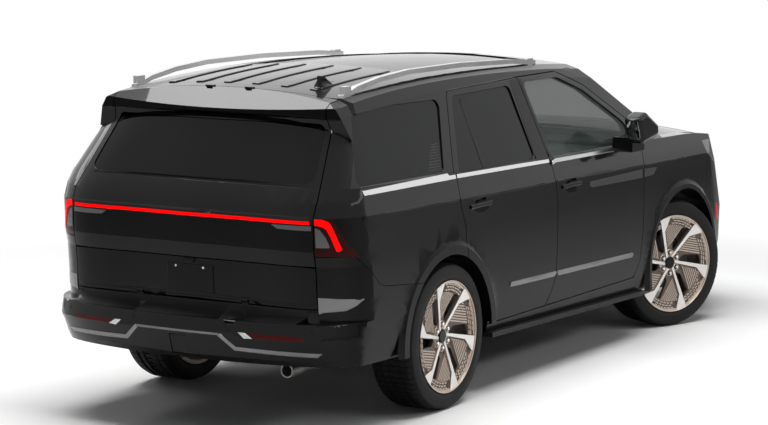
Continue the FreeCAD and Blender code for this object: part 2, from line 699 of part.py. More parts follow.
def make_body():
    """All the panels and panes of the body."""
    skin = outer_skin()
    shell = skin.cut([cabin_space(), engine_space()] + arches())
    shell = shell.common(block((-FAR, FAR), (-FAR, FAR), (s.sill_height * LOW_SHARE, FAR)))
    gap = s.shut_gap

    # nose
    hood_y = HOOD_OUTLINE_SHARES[0] * SKIN
    hood_z = HOOD_OUTLINE_SHARES[1] * s.roof_height
    hood_x = HOOD_FRONT_SHARES[0][0] * HALF_LENGTH
    lean = math.sin(math.radians(s.windscreen_angle))
    scuttle = windscreen_cut(-COWL_SHARE * HALF_LENGTH, s.overrun)
    wide_scuttle = windscreen_cut(-COWL_SHARE * HALF_LENGTH + gap / lean, s.overrun)
    hood_box = block((s.firewall_x, hood_x), (-hood_y, hood_y), (hood_z, FAR))
    wide_box = block((s.firewall_x, hood_x + gap), (-hood_y - gap, hood_y + gap), (hood_z - gap, FAR))
    hood = shell.common(hood_box).cut(scuttle)
    shell = shell.cut(wide_box.cut(wide_scuttle))
    add("hood", clean(hinge_hood(hood)))
    foot = WINDSCREEN_FOOT_SHARES[0][1] * s.roof_height + gap
    cowl = shell.common(block((s.firewall_x, s.front_axle_x), (-hood_y, hood_y), (hood_z, foot)))
    cowl = cowl.common(windscreen_cut(-COWL_SHARE * HALF_LENGTH + s.cowl_gap / lean, s.overrun))
    reach = hood_y + s.seat_gap
    shell = shell.cut(block((s.firewall_x, s.front_axle_x), (-reach, reach), (hood_z, foot)))
    shelf_y = SHELF_HALF_SHARE * SKIN
    add("cowl", clean(hinge_cowl(cowl.fuse(side_prism(SHELF_SHARES, (-shelf_y, shelf_y))))))

    grille_tool = rear_prism(GRILLE_SHARES, (s.front_axle_x, FAR), radius=GRILLE_RADIUS_SHARE * SKIN)
    nose_layer = skin.cut(moved(skin, x=-GRILLE_DEPTH))
    grille = shell.common(grille_tool).common(nose_layer)
    shell = shell.cut(rear_prism(GRILLE_SHARES, (s.front_axle_x, FAR), grow=s.seat_gap,
                                 radius=GRILLE_RADIUS_SHARE * SKIN).common(nose_layer))
    add("grille", clean(grille.cut(grille_slots())))

    lamp_zone = side_prism(LAMP_SHARES, (-FAR, -LAMP_INNER_SHARE * SKIN))
    lamp_layer = skin.cut(moved(skin, x=-LAMP_DEPTH, y=LAMP_DEPTH / 2))
    lamp = shell.common(lamp_zone).common(lamp_layer)
    wide_lamp = side_prism(LAMP_SHARES, (-FAR, -LAMP_INNER_SHARE * SKIN + s.seat_gap),
                           grow=s.seat_gap).common(lamp_layer)
    shell = shell.cut([wide_lamp, mirrored(wide_lamp)])
    pair("headlamps", clean(lamp))

    bumper = shell.common(side_prism(BUMPER_LINE_SHARES))
    shell = shell.cut(side_prism(BUMPER_LINE_SHARES, grow=gap / 2))
    intake = rear_prism(INTAKE_SHARES, (s.front_axle_x, FAR), radius=GRILLE_RADIUS_SHARE * SKIN / 2)
    add("bumper_front", clean(bumper.cut(intake.common(nose_layer))))

    # tail
    gate_tool = rear_prism(GATE_SHARES, (-FAR, -s.axle_height)).common(side_prism(GATE_FRONT_SHARES))
    gate_wide = rear_prism(GATE_SHARES, (-FAR, -s.axle_height),
                           grow=gap).common(side_prism(GATE_FRONT_SHARES, grow=gap))
    gate, shell = carve(shell, gate_tool, gate_wide)
    gate = gate.cut(on_both_sides([gate_rim()]))
    lower_wide = rear_prism(LOWER_GATE_SHARES, (-FAR, REAR_AXLE_X - s.rear_arch_radius), grow=gap)
    lower_gate = shell.common(rear_prism(LOWER_GATE_SHARES, (-FAR, REAR_AXLE_X - s.rear_arch_radius)))
    lower_gate = lower_gate.cut(side_prism(GATE_TOP_SHARES))
    shell = shell.cut(lower_wide)
    add("tailgate_lower", clean(hinge_lower_gate(lower_gate)))

    plan = ends()
    bar_layer = gate.cut(moved(plan, x=BAR_DEPTH))
    bar = bar_layer.common(rear_prism(LIGHT_BAR_SHARES, (-FAR, 0)))
    gate = gate.cut(rear_prism(LIGHT_BAR_SHARES, (-FAR, 0), grow=s.seat_gap).cut(moved(plan, x=BAR_DEPTH)))
    add("light_bar", clean(bar))
    band = rear_prism(REAR_WINDOW_BAND_SHARES, (-FAR, -s.front_axle_x), radius=WINDOW_RADIUS)
    band_in = rear_prism(REAR_WINDOW_BAND_SHARES, (-FAR, -s.front_axle_x), grow=-s.seat_gap,
                         radius=WINDOW_RADIUS)
    pane = moved(plan, x=s.glass_inset).cut(moved(plan,
                                                  x=s.glass_inset + s.glass_thickness)).common(band_in)
    add("rear_glass", clean(pane.common(gate_tool)))
    add("liftgate", clean(gate.cut([band] + gate_pockets(-1)).fuse(gate_lugs())))

    corner = shell.common(side_prism(CORNER_LAMP_SHARES, (-FAR, -0.5 * SKIN)))
    corner = corner.cut(moved(skin, x=LAMP_DEPTH, y=LAMP_DEPTH / 2))
    corner_wide = side_prism(CORNER_LAMP_SHARES, (-FAR, -0.5 * SKIN),
                             grow=s.seat_gap).cut(moved(skin, x=LAMP_DEPTH, y=LAMP_DEPTH / 2))
    shell = shell.cut([corner_wide, mirrored(corner_wide)])
    pair("tail_lamps", clean(corner))
    rear_bumper = shell.common(side_prism(BUMPER_REAR_SHARES))
    shell = shell.cut(side_prism(BUMPER_REAR_SHARES, grow=gap / 2))
    add("bumper_rear", clean(finish_rear_bumper(rear_bumper)))

    # roof and windscreen
    within, screen = make_screen()
    add("windshield", clean(screen))
    shell = shell.cut(within.cut(windscreen_cut(3 * s.frame_thickness, s.overrun)))
    roof_y = ROOF_HALF_SHARE * SKIN
    roof = shell.common(side_prism(ROOF_SHARES, (-roof_y, roof_y)))
    shell = shell.cut(side_prism(ROOF_SHARES, (-roof_y - s.seat_gap, roof_y + s.seat_gap), grow=s.seat_gap))
    tail_x, front_x, half = (share * scale for share, scale in zip(ROOF_GLASS_SHARES,
            (HALF_LENGTH, HALF_LENGTH, SKIN)))
    hole = block((tail_x, front_x), (-half, half), (s.roof_height * 0.8, FAR))
    pane_hole = block((tail_x + s.seat_gap, front_x - s.seat_gap), (-half + s.seat_gap, half - s.seat_gap),
                      (s.roof_height * 0.8, FAR))
    panes = glass_layer()
    add("roof_glass", clean(panes.common(pane_hole)))
    add("roof_panel", clean(add_roof_details(roof.cut(hole))))
    return shell, panes


def make_screen():
    """The opening of the windscreen as a solid to cut away, and the pane in it."""
    foot = WINDSCREEN_FOOT_SHARES[0][1] * s.roof_height + s.shut_gap
    margin = s.screen_margin
    within = upper_body(margin, margin * 0.6).common(block((-FAR, FAR), (-FAR, FAR), (foot, FAR)))
    inside = upper_body(margin + s.seat_gap, margin * 0.6 + s.seat_gap).common(block((-FAR, FAR),
            (-FAR, FAR), (foot + s.seat_gap, FAR)))
    slope = math.sin(math.radians(s.windscreen_angle))
    front, back = s.glass_inset / slope, (s.glass_inset + s.glass_thickness) / slope
    screen = windscreen_cut(front, s.overrun).cut(windscreen_cut(back, s.overrun)).common(inside)
    return within, screen


LOW_SHARE = 0.80
# Hinges of the hood and of the two gates; each axis is a place in side view

HOOD_AXIS_SHARES = [(0.5606, 0.6604)]
GATE_AXIS_SHARES = [(-0.7953, 0.9717)]
LOWER_AXIS_SHARES = [(-0.9404, 0.3869)]
HOOD_HINGE_Y_SHARES = (0.820, 0.8265, 0.8445)
GATE_HINGE_Y_SHARES = (0.100, 0.112, 0.148, 0.160)
LOWER_HINGE_Y_SHARES = (0.298, 0.328, 0.368, 0.398)


def hinge_rod(axis, low, high, radius):
    """A round bar along a hinge's axis, between two distances to the car's right."""
    x, z = axis[0][0] * HALF_LENGTH, axis[0][1] * s.roof_height
    return Part.makeCylinder(radius, (high - low) * SKIN, Vector(x, -high * SKIN, z), Vector(0, 1, 0))


def hinge_block(axis, y_shares, x_reach, z_reach):
    """A block near a hinge's axis, its reaches measured from the axis."""
    x, z = axis[0][0] * HALF_LENGTH, axis[0][1] * s.roof_height
    low, high = (share * SKIN for share in y_shares)
    return block((x + x_reach[0], x + x_reach[1]), (-high, -low), (z + z_reach[0], z + z_reach[1]))


def on_both_sides(shapes):
    """A list of shapes with their mirror images."""
    return shapes + [mirrored(shape) for shape in shapes]


def hinge_hood(hood):
    """The hood with its hinge arms, lugs and bores."""
    pocket, start, end = HOOD_HINGE_Y_SHARES
    lug = hinge_rod(HOOD_AXIS_SHARES, start, end, s.hinge_lug_radius)
    arm = hinge_block(HOOD_AXIS_SHARES, (start, end), (0, s.hood_arm_length),
                      (-s.hinge_lug_radius, s.hinge_pin_radius))
    bore = hinge_rod(HOOD_AXIS_SHARES, pocket, end, s.hinge_pin_radius + s.hinge_clearance)
    return hood.fuse(on_both_sides([lug, arm])).cut(on_both_sides([bore]))


def hinge_cowl(cowl):
    """A pocket in each end of the cowl for the hood's arm, with the pin that it turns on."""
    pocket, _, end = HOOD_HINGE_Y_SHARES
    room = 2 * s.hinge_lug_radius
    space = hinge_block(HOOD_AXIS_SHARES, (pocket, 1), (-room, s.hood_arm_length), (-room, FAR))
    pin = hinge_rod(HOOD_AXIS_SHARES, pocket - s.hinge_lug_radius / SKIN, end, s.hinge_pin_radius)
    return cowl.cut(on_both_sides([space])).fuse(on_both_sides([pin]))


GATE_RIM_SHARES = [(-0.8305, 0.8084), (-0.7124, 0.8924)]
GATE_RIM_Y_SHARE = 0.69


def gate_rim():
    """The strip off the upper gate's inner rim that lets it swing clear of the opening's narrower top."""
    (back, low), (front, high) = GATE_RIM_SHARES
    z_range = (low * s.roof_height, high * s.roof_height)
    return block((back * HALF_LENGTH, front * HALF_LENGTH), (-SKIN, -GATE_RIM_Y_SHARE * SKIN), z_range)


def gate_pockets(sense):
    """The room for the ears in the upper gate, sense -1, or for the lugs in the roof, sense 1."""
    first, start, end, last = GATE_HINGE_Y_SHARES
    clear = s.hinge_clearance * 3 / SKIN
    reach = s.hinge_lug_radius
    low, high = (first, last) if sense < 0 else (start, end)
    x_reach = sorted((sense * reach, -sense * s.shut_gap / 2))
    return on_both_sides([hinge_block(GATE_AXIS_SHARES, (low - clear, high + clear), x_reach,
                                      (-reach, FAR))])


def gate_lugs():
    """The lugs on the upper gate, each on a pin between two ears of the roof."""
    _, start, end, _ = GATE_HINGE_Y_SHARES
    lug = hinge_rod(GATE_AXIS_SHARES, start, end, s.hinge_lug_radius * LUG_TRIM)
    arm = hinge_block(GATE_AXIS_SHARES, (start, end), (-2 * s.hinge_lug_radius, 0),
                      (-s.hinge_lug_radius * LUG_TRIM, 0))
    bore = hinge_rod(GATE_AXIS_SHARES, start, end, s.hinge_pin_radius * PIN_TRIM + s.hinge_clearance)
    return on_both_sides([lug.fuse(arm).cut(bore)])


LUG_TRIM = 0.75
PIN_TRIM = 0.75


def add_roof_details(roof):
    """The ears and pins of the upper gate's hinges, and the antenna's fin."""
    first, start, end, last = GATE_HINGE_Y_SHARES
    radius = s.hinge_lug_radius * LUG_TRIM
    ears = []
    clear = 2 * s.hinge_clearance / SKIN
    for low, high in ((first, start - clear), (end + clear, last)):
        ears.append(hinge_rod(GATE_AXIS_SHARES, low, high, radius))
        ears.append(hinge_block(GATE_AXIS_SHARES, (low, high), (0, 2 * radius), (-radius, 0)))
    pin = hinge_rod(GATE_AXIS_SHARES, first, last, s.hinge_pin_radius * PIN_TRIM)
    fin_y = ANTENNA_Y_SHARE * SKIN
    fin = side_prism(ANTENNA_SHARES, (fin_y - s.roof_rail_width / 2, fin_y + s.roof_rail_width / 2))
    return roof.cut(gate_pockets(1)).fuse(on_both_sides(ears + [pin]) + [fin])


ANTENNA_SHARES = [
    (-0.6899, 0.9764), (-0.7019, 0.9879), (-0.7124, 0.9953), (-0.7255, 1.0079), (-0.7312, 1.0068),
    (-0.733, 0.9711),
]
ANTENNA_Y_SHARE = -0.477


def hinge_lower_gate(gate):
    """Rolls the lower gate's bottom edge about its axis, and cuts its bores and the fixed barrel's notch."""
    first, start, end, last = LOWER_HINGE_Y_SHARES
    x, z = LOWER_AXIS_SHARES[0][0] * HALF_LENGTH, LOWER_AXIS_SHARES[0][1] * s.roof_height
    corner = block((-FAR, x), (-SKIN, SKIN), (0, z))
    roll = Part.makeCylinder(s.gate_roll_radius, 2 * SKIN, Vector(x, -SKIN, z), Vector(0, 1, 0))
    clear = s.shut_gap / SKIN
    room = s.gate_roll_radius
    notch = hinge_block(LOWER_AXIS_SHARES, (start - clear, end + clear), (-FAR, room), (-FAR, room))
    bore = hinge_rod(LOWER_AXIS_SHARES, first - clear, last + clear, s.hinge_pin_radius + s.hinge_clearance)
    return gate.cut([corner.cut(roll)] + on_both_sides([notch, bore]))


def finish_rear_bumper(bumper):
    """The lower gate's barrels and pins, and the opening for the tow receiver."""
    first, start, end, last = LOWER_HINGE_Y_SHARES
    barrel = hinge_rod(LOWER_AXIS_SHARES, start, end, s.hinge_pin_radius * 3)
    web = hinge_block(LOWER_AXIS_SHARES, (start, end), (-s.shut_gap, s.shut_gap), (-s.shut_gap * 7, 0))
    pin = hinge_rod(LOWER_AXIS_SHARES, first, last, s.hinge_pin_radius)
    half = s.receiver_width / 2 + s.shut_gap * 4
    middle = s.receiver_height
    opening = block((-HALF_LENGTH - s.shut_gap, -HALF_LENGTH * 0.93), (-half, half),
                    (middle - half, middle + half))
    return bumper.fuse(on_both_sides([barrel, web, pin])).cut(opening)


def grille_slots():
    """Open slots between the grille's bars, left out where the middle bar stands."""
    low, high = GRILLE_SLOT_SHARES
    pitch = (high - low) * s.roof_height / GRILLE_BARS
    slots = []
    for i in range(GRILLE_BARS):
        z = low * s.roof_height + pitch * (i + 0.5)
        half = SKIN * (SLOT_HALF_SHARE + i * SLOT_GROWTH_SHARE)
        slots += on_both_sides([block((s.front_axle_x, FAR), (-half, -s.shut_gap * 2),
                                      (z - pitch * 0.3, z + pitch * 0.3))])
    return slots


GRILLE_BARS = 7
GRILLE_SLOT_SHARES = (0.352, 0.572)
SLOT_HALF_SHARE = 0.50
SLOT_GROWTH_SHARE = 0.007


INTAKE_SHARES = [(-0.5169, 0.294), (0.5169, 0.294), (0.4672, 0.2257), (-0.4672, 0.2257)]
COWL_SHARE = 0.012
SHELF_HALF_SHARE = 0.79
SHELF_SHARES = [
    (0.4297, 0.6457), (0.5549, 0.6457), (0.5512, 0.674), (0.5362, 0.674), (0.5362, 0.6572),
    (0.4297, 0.6572),
]
GRILLE_RADIUS_SHARE = 0.06
WINDOW_RADIUS = 40


def make_sides(shell, panes):
    """Fenders, doors, panes and the fixed sides, cut on the right and mirrored to the left."""
    right = shell.common(block((-FAR, FAR), (-FAR, -s.seat_gap), (-FAR, FAR)))
    gap = s.shut_gap
    near = side_band(INNER_SHARE * SKIN, -1)
    windows = {
        "door_glass_front": FRONT_WINDOW_SHARES,
        "door_glass_rear": REAR_WINDOW_SHARES,
        "quarter_glass": QUARTER_WINDOW_SHARES,
    }
    holes = [side_prism(shares, near, radius=WINDOW_RADIUS) for shares in windows.values()]
    for name, shares in windows.items():
        pane = panes.common(side_prism(shares, near, grow=-s.seat_gap, radius=WINDOW_RADIUS))
        (pair if name == "quarter_glass" else both)(name, clean(pane))
    right = right.cut(holes)
    for name, outline in (("door_front", FRONT_DOOR_SHARES), ("door_rear", REAR_DOOR_SHARES)):
        leaf = clean(door_leaf(right.common(door_zone(DOOR_DEPTH_SHARES[0])), outline, near))
        both(name, finish_door(leaf, name))
    opening = [side_prism(outline, near, grow=gap / 2) for outline in (FRONT_DOOR_SHARES, REAR_DOOR_SHARES)]
    right = right.cut([tool.common(door_zone(DOOR_DEPTH_SHARES[1])) for tool in opening])

    ahead = side_prism(FENDER_LINE_SHARES)
    fender = right.common(ahead)
    right = right.cut(side_prism(FENDER_LINE_SHARES, grow=s.seat_gap))
    both("fender_front", clean(fender))
    both("body_side", clean(right.fuse(centre_pillar())))


DOOR_DEPTH_SHARES = (0.846, 0.838)


def door_zone(inner_share):
    """The outer part of the body that the right-hand doors may take up."""
    split = BELT_SHARE * s.roof_height - s.frame_thickness - s.shut_gap
    low = block((-FAR, FAR), (-FAR, -inner_share * SKIN), (-FAR, split))
    return low.fuse(block((-FAR, FAR), (-FAR, -INNER_SHARE * SKIN), (split, FAR)))


FENDER_LINE_SHARES = [
    (0.4211, 0.6656), (0.4211, 0.7349), (1.0874, 0.7349), (1.0874, 0.105), (0.3667, 0.105),
    (0.3667, 0.2184), (0.3948, 0.2698), (0.4083, 0.3669), (0.4136, 0.4661),
]
INNER_SHARE = 0.45
PILLAR_SHARES = [
    (-0.0956, 0.21), (-0.0075, 0.21), (-0.015, 0.6719), (-0.045, 0.9606), (-0.1125, 0.9606),
    (-0.0806, 0.6719),
]


def centre_pillar():
    """The post between the doors, just inside them."""
    start = s.door_thickness + s.shut_gap
    low = flanks(start).cut(flanks(start + s.pillar_thickness))
    low = low.common(block((-FAR, FAR), (-FAR, 0), (-FAR, BELT_SHARE * s.roof_height)))
    start = s.frame_thickness + s.shut_gap
    high = upper_body(start, start).cut(upper_body(start + 2 * s.pillar_thickness, start))
    foot = BELT_SHARE * s.roof_height - s.frame_thickness + s.shut_gap
    high = high.common(block((-FAR, FAR), (-FAR, 0), (foot, FAR)))
    roof_y = ROOF_HALF_SHARE * SKIN + s.seat_gap
    post = low.fuse(high).common(side_prism(PILLAR_SHARES, (-FAR, -roof_y)))
    beside_sill = block((-FAR, FAR), (-FAR, -DOOR_DEPTH_SHARES[1] * SKIN), (0, s.floor_height + s.shut_gap))
    x, z = PILLAR_SHARES[4][0] * HALF_LENGTH, FRONT_DOOR_SHARES[11][1] * s.roof_height + s.shut_gap
    head = block((x, x + 2 * s.pillar_thickness), (-roof_y - s.frame_thickness, -roof_y - s.shut_gap),
                 (z, z + s.frame_thickness / 2))
    return post.cut(beside_sill).fuse(head)


HANDLE_SHARES = {"door_front": [(0.0326, 0.5864)], "door_rear": [(-0.3937, 0.5932)]}
STRIP_SHARES = [(-0.2647, 0.3318), (-0.2647, 0.3155), (0.3513, 0.2919), (0.3513, 0.3081)]


def finish_door(leaf, name):
    """Adds the handle in its cup, the low strip and, at the front, the mirror to a right-hand door."""
    x, z = HANDLE_SHARES[name][0][0] * HALF_LENGTH, HANDLE_SHARES[name][0][1] * s.roof_height
    surface = HANDLE_Y_SHARE * SKIN
    cup = block((x - s.cup_radius, x + s.cup_radius), (-surface - s.handle_depth, -surface + s.cup_depth),
                (z - s.cup_height / 2, z + s.cup_height / 2))
    half = s.handle_length / 2
    grip = block((x - half, x + half), (-surface - s.handle_depth, -surface + s.shut_gap),
                 (z - s.handle_height / 2, z + s.handle_height / 2))
    grip = grip.makeFillet(s.handle_height / 4, grip.Edges)
    skin = flanks(-s.strip_depth).cut(flanks(s.strip_depth))
    gap = s.shut_gap / 2
    outline = FRONT_DOOR_SHARES if name == "door_front" else REAR_DOOR_SHARES
    strip = skin.common(side_prism(STRIP_SHARES, (-FAR, 0))).common(side_prism(outline, (-FAR, 0),
            grow=-gap))
    leaf = leaf.cut(cup).fuse([grip, strip])
    return leaf.fuse(mirror_body()) if name == "door_front" else leaf


HANDLE_Y_SHARE = 0.990


MIRROR_SHARES = [
    (0.2625, 0.6877), (0.24, 0.7769), (0.285, 0.7927), (0.3487, 0.7454), (0.3525, 0.7087),
]
MIRROR_Y_SHARES = (1.065, 1.18)
MIRROR_FOOT_SHARES = [(0.27, 0.6593), (0.3375, 0.6593), (0.3337, 0.706), (0.2737, 0.706)]
MIRROR_ROUND = 28
MIRROR_FOOT_SHARE = 0.9535


def mirror_body():
    """The mirror's housing on its foot, as part of the front door."""
    near, far = (share * SKIN for share in MIRROR_Y_SHARES)
    housing = side_prism(MIRROR_SHARES, (-far, -near))
    housing = housing.makeFillet(MIRROR_ROUND, housing.Edges)
    foot = side_prism(MIRROR_FOOT_SHARES, (-near - MIRROR_ROUND, -MIRROR_FOOT_SHARE * SKIN))
    return housing.fuse(foot)


# Pieces made of sketches

def new_body(name):
    """A new body for sketches and pads, listed among the parts."""
    body = doc.addObject("PartDesign::Body", name)
    body.Label = name
    parts[name] = body
    return body


def plane(body, role):
    """A body's origin plane by its role."""
    return next(item for item in body.Origin.OriginFeatures if item.Role == role)


def outline(body, role, corners, offset="0"):
    """A closed sketch of straight lines whose corners are held by expressions on the sheet."""
    sketch = body.newObject("Sketcher::SketchObject", f"outline_{len(doc.Objects)}")
    sketch.AttachmentSupport = [(plane(body, role), "")]
    sketch.MapMode = "FlatFace"
    sketch.setExpression(".AttachmentOffset.Base.z", offset)
    places = [Vector(*(float(sketch.evalExpression(text)) for text in pair), 0) for pair in corners]
    count = len(places)
    for i, place in enumerate(places):
        sketch.addGeometry(Part.LineSegment(place, places[(i + 1) % count]))
    for i in range(count):
        sketch.addConstraint(Sketcher.Constraint("Coincident", i, 2, (i + 1) % count, 1))
    for i, pair in enumerate(corners):
        for kind, text, value in zip(("DistanceX", "DistanceY"), pair, places[i]):
            if text == "0":
                on_axis = ("Vertical", "Horizontal")[kind == "DistanceY"]
                sketch.addConstraint(Sketcher.Constraint(on_axis, i, 1, -1, 1))
                continue
            index = sketch.addConstraint(Sketcher.Constraint(kind, i, 1, value))
            sketch.setExpression(f"Constraints[{index}]", text)
    return sketch


def revolve(body, corners):
    """A ring about the body's Y axis; each corner is a radius and a distance along the axis."""
    sketch = outline(body, "XY_Plane", corners)
    feature = body.newObject("PartDesign::Revolution", f"turned_{len(doc.Objects)}")
    feature.Profile = sketch
    feature.ReferenceAxis = (sketch, ["V_Axis"])
    return feature


def pad(body, role, corners, offset, length):
    """A plate from an outline, its middle a distance from the body's plane."""
    sketch = outline(body, role, corners, offset)
    feature = body.newObject("PartDesign::Pad", f"plate_{len(doc.Objects)}")
    feature.Profile = sketch
    feature.Midplane = True
    feature.setExpression("Length", length)
    return feature


def place(body, x, y, z, turn=0, pivot=None):
    """Puts a body at a point and then turns it about an upright axis."""
    placement = FreeCAD.Placement(Vector(x, y, z), FreeCAD.Rotation())
    if turn:
        spin = FreeCAD.Placement(Vector(), FreeCAD.Rotation(Vector(0, 0, 1), turn), pivot)
        placement = spin.multiply(placement)
    body.Placement = placement


def steered(body, side, x, y, z):
    """Places a piece of the front wheels, turned with the steering."""
    pivot = Vector(s.front_axle_x, side * s.kingpin_spacing / 2, 0)
    place(body, x, y, z, s.steer_angle, pivot)


WHEELS = (("front_right", -1), ("front_left", 1), ("rear_right", -1), ("rear_left", 1))
SPOKES = 6


def make_wheels():
    """The four wheels, with their tyres, rims and discs."""
    for corner, side in WHEELS:
        front = corner.startswith("front")
        x = s.front_axle_x if front else REAR_AXLE_X
        for maker in (make_tyre, make_rim):
            body = maker(corner, side)
            if front:
                steered(body, side, x, side * s.wheel_track / 2, s.axle_height)
            else:
                place(body, x, side * s.wheel_track / 2, s.axle_height)


def make_tyre(corner, _):
    """A revolved low-profile tyre that seats on the rim."""
    body = new_body(f"tyre_{corner}")
    tread, wall = "sizes.tyre_width * 0.40", "sizes.tyre_width / 2"
    bead = "sizes.tyre_width / 2 - sizes.rim_tuck - sizes.rim_lip - sizes.seat_gap"
    inner, lip = "sizes.rim_seat_radius + sizes.seat_gap", "sizes.rim_diameter / 2 + sizes.seat_gap * 4"
    half = [
        (inner, bead),
        (lip, bead),
        ("sizes.rim_diameter / 2 + sizes.tyre_wall * 0.3", wall),
        ("sizes.tyre_diameter / 2 - sizes.tyre_shoulder", "sizes.tyre_width * 0.475"),
        ("sizes.tyre_diameter / 2", tread),
    ]
    revolve(body, half + [(r, f"-({y})") for r, y in reversed(half)])
    return body


def make_rim(corner, side):
    """Barrel with its lips, hub, swept spokes, the pockets' floor and the brake disc that turns with them."""
    body = new_body(f"rim_{corner}")
    sign = "" if side > 0 else "-"

    def out(text):
        """A place counted outward from the wheel's middle plane."""
        return f"{sign}({text})"

    half = "sizes.tyre_width / 2 - sizes.rim_tuck"
    shelf = f"{half} - sizes.rim_lip"
    lip, seat = "sizes.rim_diameter / 2", "sizes.rim_seat_radius"
    barrel = "sizes.rim_seat_radius - sizes.rim_wall"
    revolve(body, [
        (barrel, f"-({half})"), (lip, f"-({half})"), (lip, f"-({shelf})"), (seat, f"-({shelf})"),
        (seat, shelf), (lip, shelf), (lip, half), (barrel, half),
    ])
    face, back = "sizes.spoke_face", "sizes.spoke_face - sizes.spoke_depth"
    revolve(body, [
        ("0", out(face)), ("sizes.hub_radius", out(face)), ("sizes.hub_radius", out(back)),
        ("sizes.disc_hat_radius", out(back)), ("sizes.disc_hat_radius", out("sizes.disc_face")),
        ("sizes.disc_radius", out("sizes.disc_face")), ("sizes.disc_radius",
                                                        out("sizes.disc_face - sizes.disc_thickness")),
        ("0", out("sizes.disc_face - sizes.disc_thickness")),
    ])
    level = out("-(sizes.spoke_face - sizes.spoke_depth / 2)")
    inner, middle = "sizes.hub_radius * 0.8", "sizes.rim_seat_radius * 0.62"
    outer = "sizes.rim_seat_radius - sizes.rim_wall * 0.9"
    narrow, wide, sweep = "sizes.spoke_width / 2", "sizes.spoke_width", out("sizes.spoke_sweep")
    spoke = pad(body, "XZ_Plane", [
        (inner, f"-({narrow})"), (middle, f"-({narrow})"), (outer, f"{sweep} - {wide}"),
        (outer, f"{sweep} + {wide}"), (middle, narrow), (inner, narrow),
    ], level, "sizes.spoke_depth")
    floor, floor_face = "sizes.rim_seat_radius * 0.74", "sizes.spoke_face - sizes.spoke_depth * 0.55"
    revolve(body, [(floor, out(back)), (outer, out(back)), (outer, out(floor_face)),
                   (floor, out(floor_face))])
    doc.recompute()
    ringed = body.newObject("PartDesign::PolarPattern", f"spokes_{corner}")
    ringed.Originals = [spoke]
    ringed.Axis = (plane(body, "Y_Axis"), [""])
    ringed.Angle = 360
    ringed.Occurrences = SPOKES
    body.Tip = ringed
    return body


# Chassis, drive line and cabin fittings

def rod(start, end, radius):
    """A cylinder between two points."""
    reach = end - start
    return Part.makeCylinder(radius, reach.Length, start, reach)


def at(x_share, y_share, z_share):
    """A point from shares of half length, half skin width and overall height."""
    return Vector(x_share * HALF_LENGTH, y_share * SKIN, z_share * s.roof_height)


RAIL_SHARES = [
    (0.8736, 0.2467), (0.8736, 0.315), (0.5249, 0.315), (0.4499, 0.2677), (-0.3075, 0.2677),
    (-0.3937, 0.2782), (-0.6562, 0.2782), (-0.7312, 0.273), (-0.8849, 0.273), (-0.8849, 0.231),
    (-0.7312, 0.231), (-0.6562, 0.2478), (-0.3937, 0.2478), (-0.3075, 0.2047), (0.3937, 0.2047),
    (0.4687, 0.2467),
]
CROSS_MEMBER_SHARES = [
    (0.8436, 0.2625), (0.4874, 0.21), (0.225, 0.2126), (-0.075, 0.2126), (-0.3, 0.2126),
    (-0.7124, 0.2346), (-0.8849, 0.231),
]


def make_frame():
    """The ladder frame with its cross members, body mounts, arm brackets and tow receiver."""
    rail = side_prism(RAIL_SHARES, (-s.rail_spacing / 2 - s.rail_width / 2,
                                    -s.rail_spacing / 2 + s.rail_width / 2))
    bars = []
    for x, z in CROSS_MEMBER_SHARES:
        x, z = x * HALF_LENGTH, z * s.roof_height
        bars.append(block((x, x + s.rail_width), (-s.rail_spacing / 2, s.rail_spacing / 2),
                          (z, z + s.rail_width)))
    mounts = []
    top = RAIL_SHARES[3][1] * s.roof_height
    for x in (RAIL_SHARES[3][0], CROSS_MEMBER_SHARES[3][0], RAIL_SHARES[4][0]):
        for y in (-s.rail_spacing / 2, s.rail_spacing / 2):
            foot = Vector(x * HALF_LENGTH, y, top - s.rail_width / 2)
            mounts.append(Part.makeCylinder(s.rail_width * 0.4,
                                            s.floor_height - s.floor_thickness - s.seat_gap - foot.z, foot))
    bracket = arm_bracket()
    frame = rail.fuse([mirrored(rail), bracket, mirrored(bracket)] + bars + mounts)
    add("chassis_frame", frame.fuse(receiver()).cut(receiver_bores()))


def arm_bracket():
    """Carries the lower arm's inner ends below the right-hand rail."""
    reach = s.arm_spread + 2 * s.arm_radius
    low = s.axle_height - s.kingpin_reach - s.ball_joint_height - 2 * s.arm_radius
    y = (-s.rail_spacing / 2 - s.rail_width / 2, -s.rail_spacing / 2 + s.rail_width / 2)
    return block((s.front_axle_x - reach, s.front_axle_x + reach), y,
                 (low, RAIL_SHARES[1][1] * s.roof_height))


def receiver():
    """The tow receiver's square tube, from the rear cross member to the bumper."""
    half = s.receiver_width / 2
    start = CROSS_MEMBER_SHARES[-1][0] * HALF_LENGTH + s.rail_width
    end = RECEIVER_END_SHARE * HALF_LENGTH
    return block((end, start), (-half, half), (s.receiver_height - half, s.receiver_height + half))


def receiver_bores():
    """The tube's square mouth and the hole for its cross pin."""
    half = s.receiver_width / 2 - s.receiver_wall
    start = CROSS_MEMBER_SHARES[-1][0] * HALF_LENGTH - s.receiver_wall
    end = RECEIVER_END_SHARE * HALF_LENGTH
    mouth = block((end, start), (-half, half), (s.receiver_height - half, s.receiver_height + half))
    pin_x = end + s.receiver_width
    pin = Part.makeCylinder(s.hitch_pin_radius, s.receiver_width,
                            Vector(pin_x, -s.receiver_width / 2, s.receiver_height), Vector(0, 1, 0))
    return [mouth, pin]


RECEIVER_END_SHARE = -0.9655


